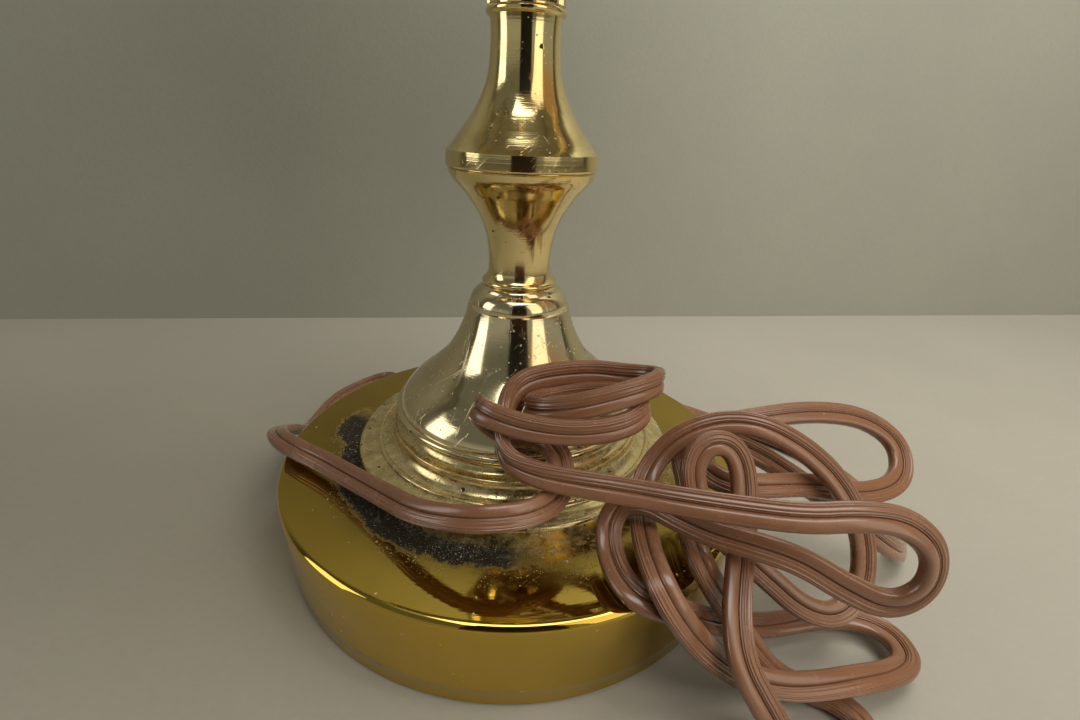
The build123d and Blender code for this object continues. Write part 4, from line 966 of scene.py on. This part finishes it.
class LAMP_OT_bell(bpy.types.Operator):
    """Spin the pale bell under the stem"""

    bl_idname = "lamp.bell"
    bl_label = "Bell"

    def execute(self, context):
        foot, top = top_of("foot_flange"), top_of("bell")
        outline = Profile(34, foot).line((35.5, foot), (37, 45)).arc((38.1, 46.1), (36.7, 47.1))
        outline.flow(
            (-0.1, 1), (-0.2, 1), (35.5, 50.2), (31.9, 54.2), (26.9, 58.4), (22.0, 63.4), (17.7, 71.0),
            (15.3, 78.6))
        outline.line((14.8, 78.9)).arc((13.8, 82.2), (11.8, 83.8), 12).arc((11.2, 84.8), (9.9, top))
        outline.line((PIPE_BORE, top)).hollow(0.8)
        turned("bell", outline, "pale_brass", ["bell"], 0.0007)
        return {"FINISHED"}


class LAMP_OT_spindles(bpy.types.Operator):
    """Turn the two spindles that meet at the seam of the stem"""

    bl_idname = "lamp.spindles"
    bl_label = "Spindles"

    def execute(self, context):
        foot, seam, top = top_of("bell"), top_of("lower_spindle"), top_of("upper_spindle")
        lower = Profile(PIPE_BORE, foot).line((10.6, foot)).arc((11.1, 86.1), (10.6, 86.8))
        lower.flow(
            (-1, 0.8), (0.45, 1), (9.2, 89.26), (9.43, 97.0), (11.48, 104.08), (15.58, 110.5),
            (20.2, 116.0))
        lower.line((20.6, 117.3), (20.35, seam), (PIPE_BORE, seam))
        turned("lower_stem", lower, "lacquered_brass", ["lower_spindle"], 0.0005)
        upper = Profile(PIPE_BORE, seam).line((20.3, seam), (20.6, 117.75))
        upper.arc((20.95, 118.0), (21.05, 118.4), 4).line((20.95, 122.0)).flow(
            (-0.9, 0.8), (0.15, 1), (17.16, 126.53), (13.08, 132.19), (10.08, 138.85), (9, 146.18),
            (9.2, 153.1))
        upper.arc((10.2, 154.1), (9.2, 155.1)).line((9.2, top), (PIPE_BORE, top))
        turned("upper_stem", upper, "lacquered_brass", ["upper_spindle"], 0.0006)
        return {"FINISHED"}


def soft_lamp(name, place, target, width, height, power, tint=(1, 1, 1), mirrored=True, lights=True):
    """A soft area lamp that faces the target and isn't seen itself."""
    data = bpy.data.lights.new(name, "AREA")
    data.shape = "RECTANGLE"
    data.size = width
    data.size_y = height
    data.energy = power
    data.color = tint
    lamp = bpy.data.objects.new(name, data)
    lamp.location = place
    lamp.rotation_euler = (Vector(target) - Vector(place)).to_track_quat("-Z", "Y").to_euler()
    lamp.visible_camera = False
    lamp.visible_glossy = mirrored
    lamp.visible_diffuse = lights
    bpy.context.scene.collection.objects.link(lamp)
    return lamp


def stage_sheet(name, corners, material):
    """A flat stage surface from its four corners."""
    mesh = bpy.data.meshes.new(name)
    mesh.from_pydata(corners, [], [(0, 1, 2, 3)])
    mesh.materials.append(material)
    sheet = bpy.data.objects.new(name, mesh)
    bpy.context.scene.collection.objects.link(sheet)
    return sheet


def stage_material(name, tint, one_sided=False):
    """Plain painted board with a faint mottle. Seen from behind, it can be looked through."""
    material, graph, surface, place = new_material(name)
    cloud = graph.group(effect("Patches"), vector=place, scale=9.0, low=0.25, high=0.75)
    speckle = graph.group(effect("Patches"), vector=place, scale=420.0, low=0.3, high=0.75)
    tone = graph.mix(cloud, tint, shade_of(tint, 0.93))
    tone = graph.mix(graph.math("MULTIPLY", speckle, 0.35), tone, shade_of(tint, 0.88))
    set_surface(graph, surface, tone, 0.75, 0.0, graph.noise(place, 500.0, 3.0), 0.0001)
    if one_sided:
        seen = graph.node("ShaderNodeLightPath").outputs["Is Camera Ray"]
        behind = graph.node("ShaderNodeNewGeometry").outputs["Backfacing"]
        through = graph.math("MULTIPLY", seen, behind)
        clear = graph.node("ShaderNodeBsdfTransparent")
        mixed = graph.node(
            "ShaderNodeMixShader", {0: through, 1: surface.outputs[0], 2: clear.outputs[0]})
        output = material.node_tree.nodes["Material Output"]
        graph.tree.links.new(mixed.outputs[0], output.inputs["Surface"])
    return material


def dark_reflection_card():
    """A dark card in front that only the polished metal mirrors: a painted reflection of the dark room,
    red-brown at its foot for a painted brown reflection low in the metal.
    """
    material, graph, surface, place = new_material("reflection_flag")
    height = graph.node("ShaderNodeSeparateXYZ", {0: place}).outputs[2]
    # Painted reflection colour: near black above and red-brown at the foot, seen only in the polished
    # metal.
    reflected_tone = graph.mix(graph.ramp(height, 0.03, 0.14), (0.09, 0.03, 0.016), (0.010, 0.010, 0.012))
    set_surface(graph, surface, reflected_tone, 0.9)
    near, low, high = -0.19, 0.04, 0.36
    card = stage_sheet(
        "reflection_flag", [(-0.042, near, low), (0.072, near, low), (0.085, near, high), (-0.045, near, high)],
        material)
    card.visible_camera = False
    card.visible_shadow = False
    card.visible_diffuse = False


def studio_world():
    """Pale where it is seen, dim as a light, and warm to the right in the metal."""
    world = bpy.data.worlds.new("studio")
    world.use_nodes = True
    graph = Graph(world.node_tree)
    shader = world.node_tree.nodes["Background"]
    way = graph.node("ShaderNodeTexCoord").outputs["Generated"]
    parts = graph.node("ShaderNodeSeparateXYZ", {0: way}).outputs
    rays = graph.node("ShaderNodeLightPath").outputs
    warm = graph.math("MULTIPLY", graph.ramp(parts[0], -0.2, 0.7), rays["Is Glossy Ray"])
    sides = graph.mix(warm, (0.13, 0.13, 0.11), (0.34, 0.21, 0.11))
    low = graph.mix(graph.ramp(parts[2], 0.12, 0.5), (0.30, 0.30, 0.27), sides)
    light = graph.mix(graph.ramp(parts[2], 0.84, 0.97), low, (0.60, 0.60, 0.57))
    strength = graph.math("MULTIPLY_ADD", rays["Is Glossy Ray"], 0.45, 0.55)
    light = graph.scaled(light, strength)
    seen = graph.math("MAXIMUM", rays["Is Camera Ray"], rays["Is Transmission Ray"])
    graph.tree.links.new(graph.mix(seen, light, (0.66, 0.65, 0.62)), shader.inputs["Color"])
    return world


class LAMP_OT_stage(bpy.types.Operator):
    """Add the plain floor, the back wall, the soft lamps and the pale world"""

    bl_idname = "lamp.stage"
    bl_label = "Stage"

    def execute(self, context):
        grey = tuple(context.scene.lamp_finish.floor_grey)
        sizes = context.scene.lamp_sizes
        reach = 3.0
        floor = stage_material("floor_board", grey)
        corners = [(-reach, -reach, 0), (reach, -reach, 0), (reach, reach, 0), (-reach, reach, 0)]
        stage_sheet("floor", corners, floor)
        wall_tint = (grey[0], 1.07 * grey[1], 1.08 * grey[2])
        wall = stage_material("wall_board", wall_tint, one_sided=True)
        along = Vector((cos(sizes.wall_turn), sin(sizes.wall_turn), 0)) * reach
        middle = Vector((0, sizes.wall_distance, 0))
        rise = Vector((0, 0, 1.6))
        corners = [middle - along, middle + along, middle + along + rise, middle - along + rise]
        stage_sheet("wall", corners, wall).visible_shadow = False

        soft_lamp("window_left", (-0.78, -0.24, 0.34), (0, 0, 0.1), 0.34, 0.55, 1.15, (1.0, 0.99, 0.95),
                  lights=False)
        soft_lamp("window_right", (0.56, -0.54, 0.5), (0, 0, 0.1), 0.42, 0.9, 1.5, (1.0, 0.93, 0.76))
        soft_lamp("fill_right", (0.6, -0.4, 0.6), (0, 0, 0.05), 0.6, 0.6, 0.9, mirrored=False)
        soft_lamp("ceiling", (0.1, -0.25, 1.1), (0, 0.05, 0.0), 0.9, 0.5, 4.2, lights=False)
        soft_lamp("above_right", (0.25, 0.04, 0.72), (0.14, 0.08, 0), 0.4, 0.4, 3.9, mirrored=False)
        soft_lamp("wall_wash", (0.3, -0.5, 0.7), (0.1, 0.2, 0.08), 0.6, 0.4, 2.8, mirrored=False)
        soft_lamp("behind", (0.35, 0.75, 0.7), (0, 0, 0.2), 0.8, 0.5, 2.2)

        # A dark card that paints dark reflections into the polished metal; it lights nothing and casts no
        # shadow.
        dark_reflection_card()
        context.scene.world = studio_world()
        context.scene.view_settings.view_transform = "Standard"
        return {"FINISHED"}


class LAMP_PT_panel(bpy.types.Panel):
    """Lists the lamp's sizes, colours and steps"""

    bl_idname = "LAMP_PT_panel"
    bl_label = "Bankers Lamp"
    bl_space_type = "VIEW_3D"
    bl_region_type = "UI"
    bl_category = "Lamp"

    def draw(self, context):
        for group in (context.scene.lamp_sizes, context.scene.lamp_finish):
            box = self.layout.box()
            for name in group.__annotations__:
                box.prop(group, name)
        for step in STEPS:
            self.layout.operator(step.bl_idname)


STEPS = (
    LAMP_OT_camera,
    LAMP_OT_finishes,
    LAMP_OT_cord,
    LAMP_OT_base,
    LAMP_OT_foot,
    LAMP_OT_bell,
    LAMP_OT_spindles,
    LAMP_OT_stage,
)
GROUPS = (LampFinish, LampSizes)


def register():
    """Add the lamp's classes and its settings to Blender."""
    for kind in (*GROUPS, *STEPS, LAMP_PT_panel):
        bpy.utils.register_class(kind)
    bpy.types.Scene.lamp_finish = bpy.props.PointerProperty(type=LampFinish)
    bpy.types.Scene.lamp_sizes = bpy.props.PointerProperty(type=LampSizes)


def unregister():
    """Take them out again."""
    del bpy.types.Scene.lamp_sizes
    del bpy.types.Scene.lamp_finish
    for kind in reversed((*GROUPS, *STEPS, LAMP_PT_panel)):
        bpy.utils.unregister_class(kind)


def main():
    """Run every step in order."""
    register()
    for step in STEPS:
        section, name = step.bl_idname.split(".")
        getattr(getattr(bpy.ops, section), name)()


if __name__ == "__main__":
    main()
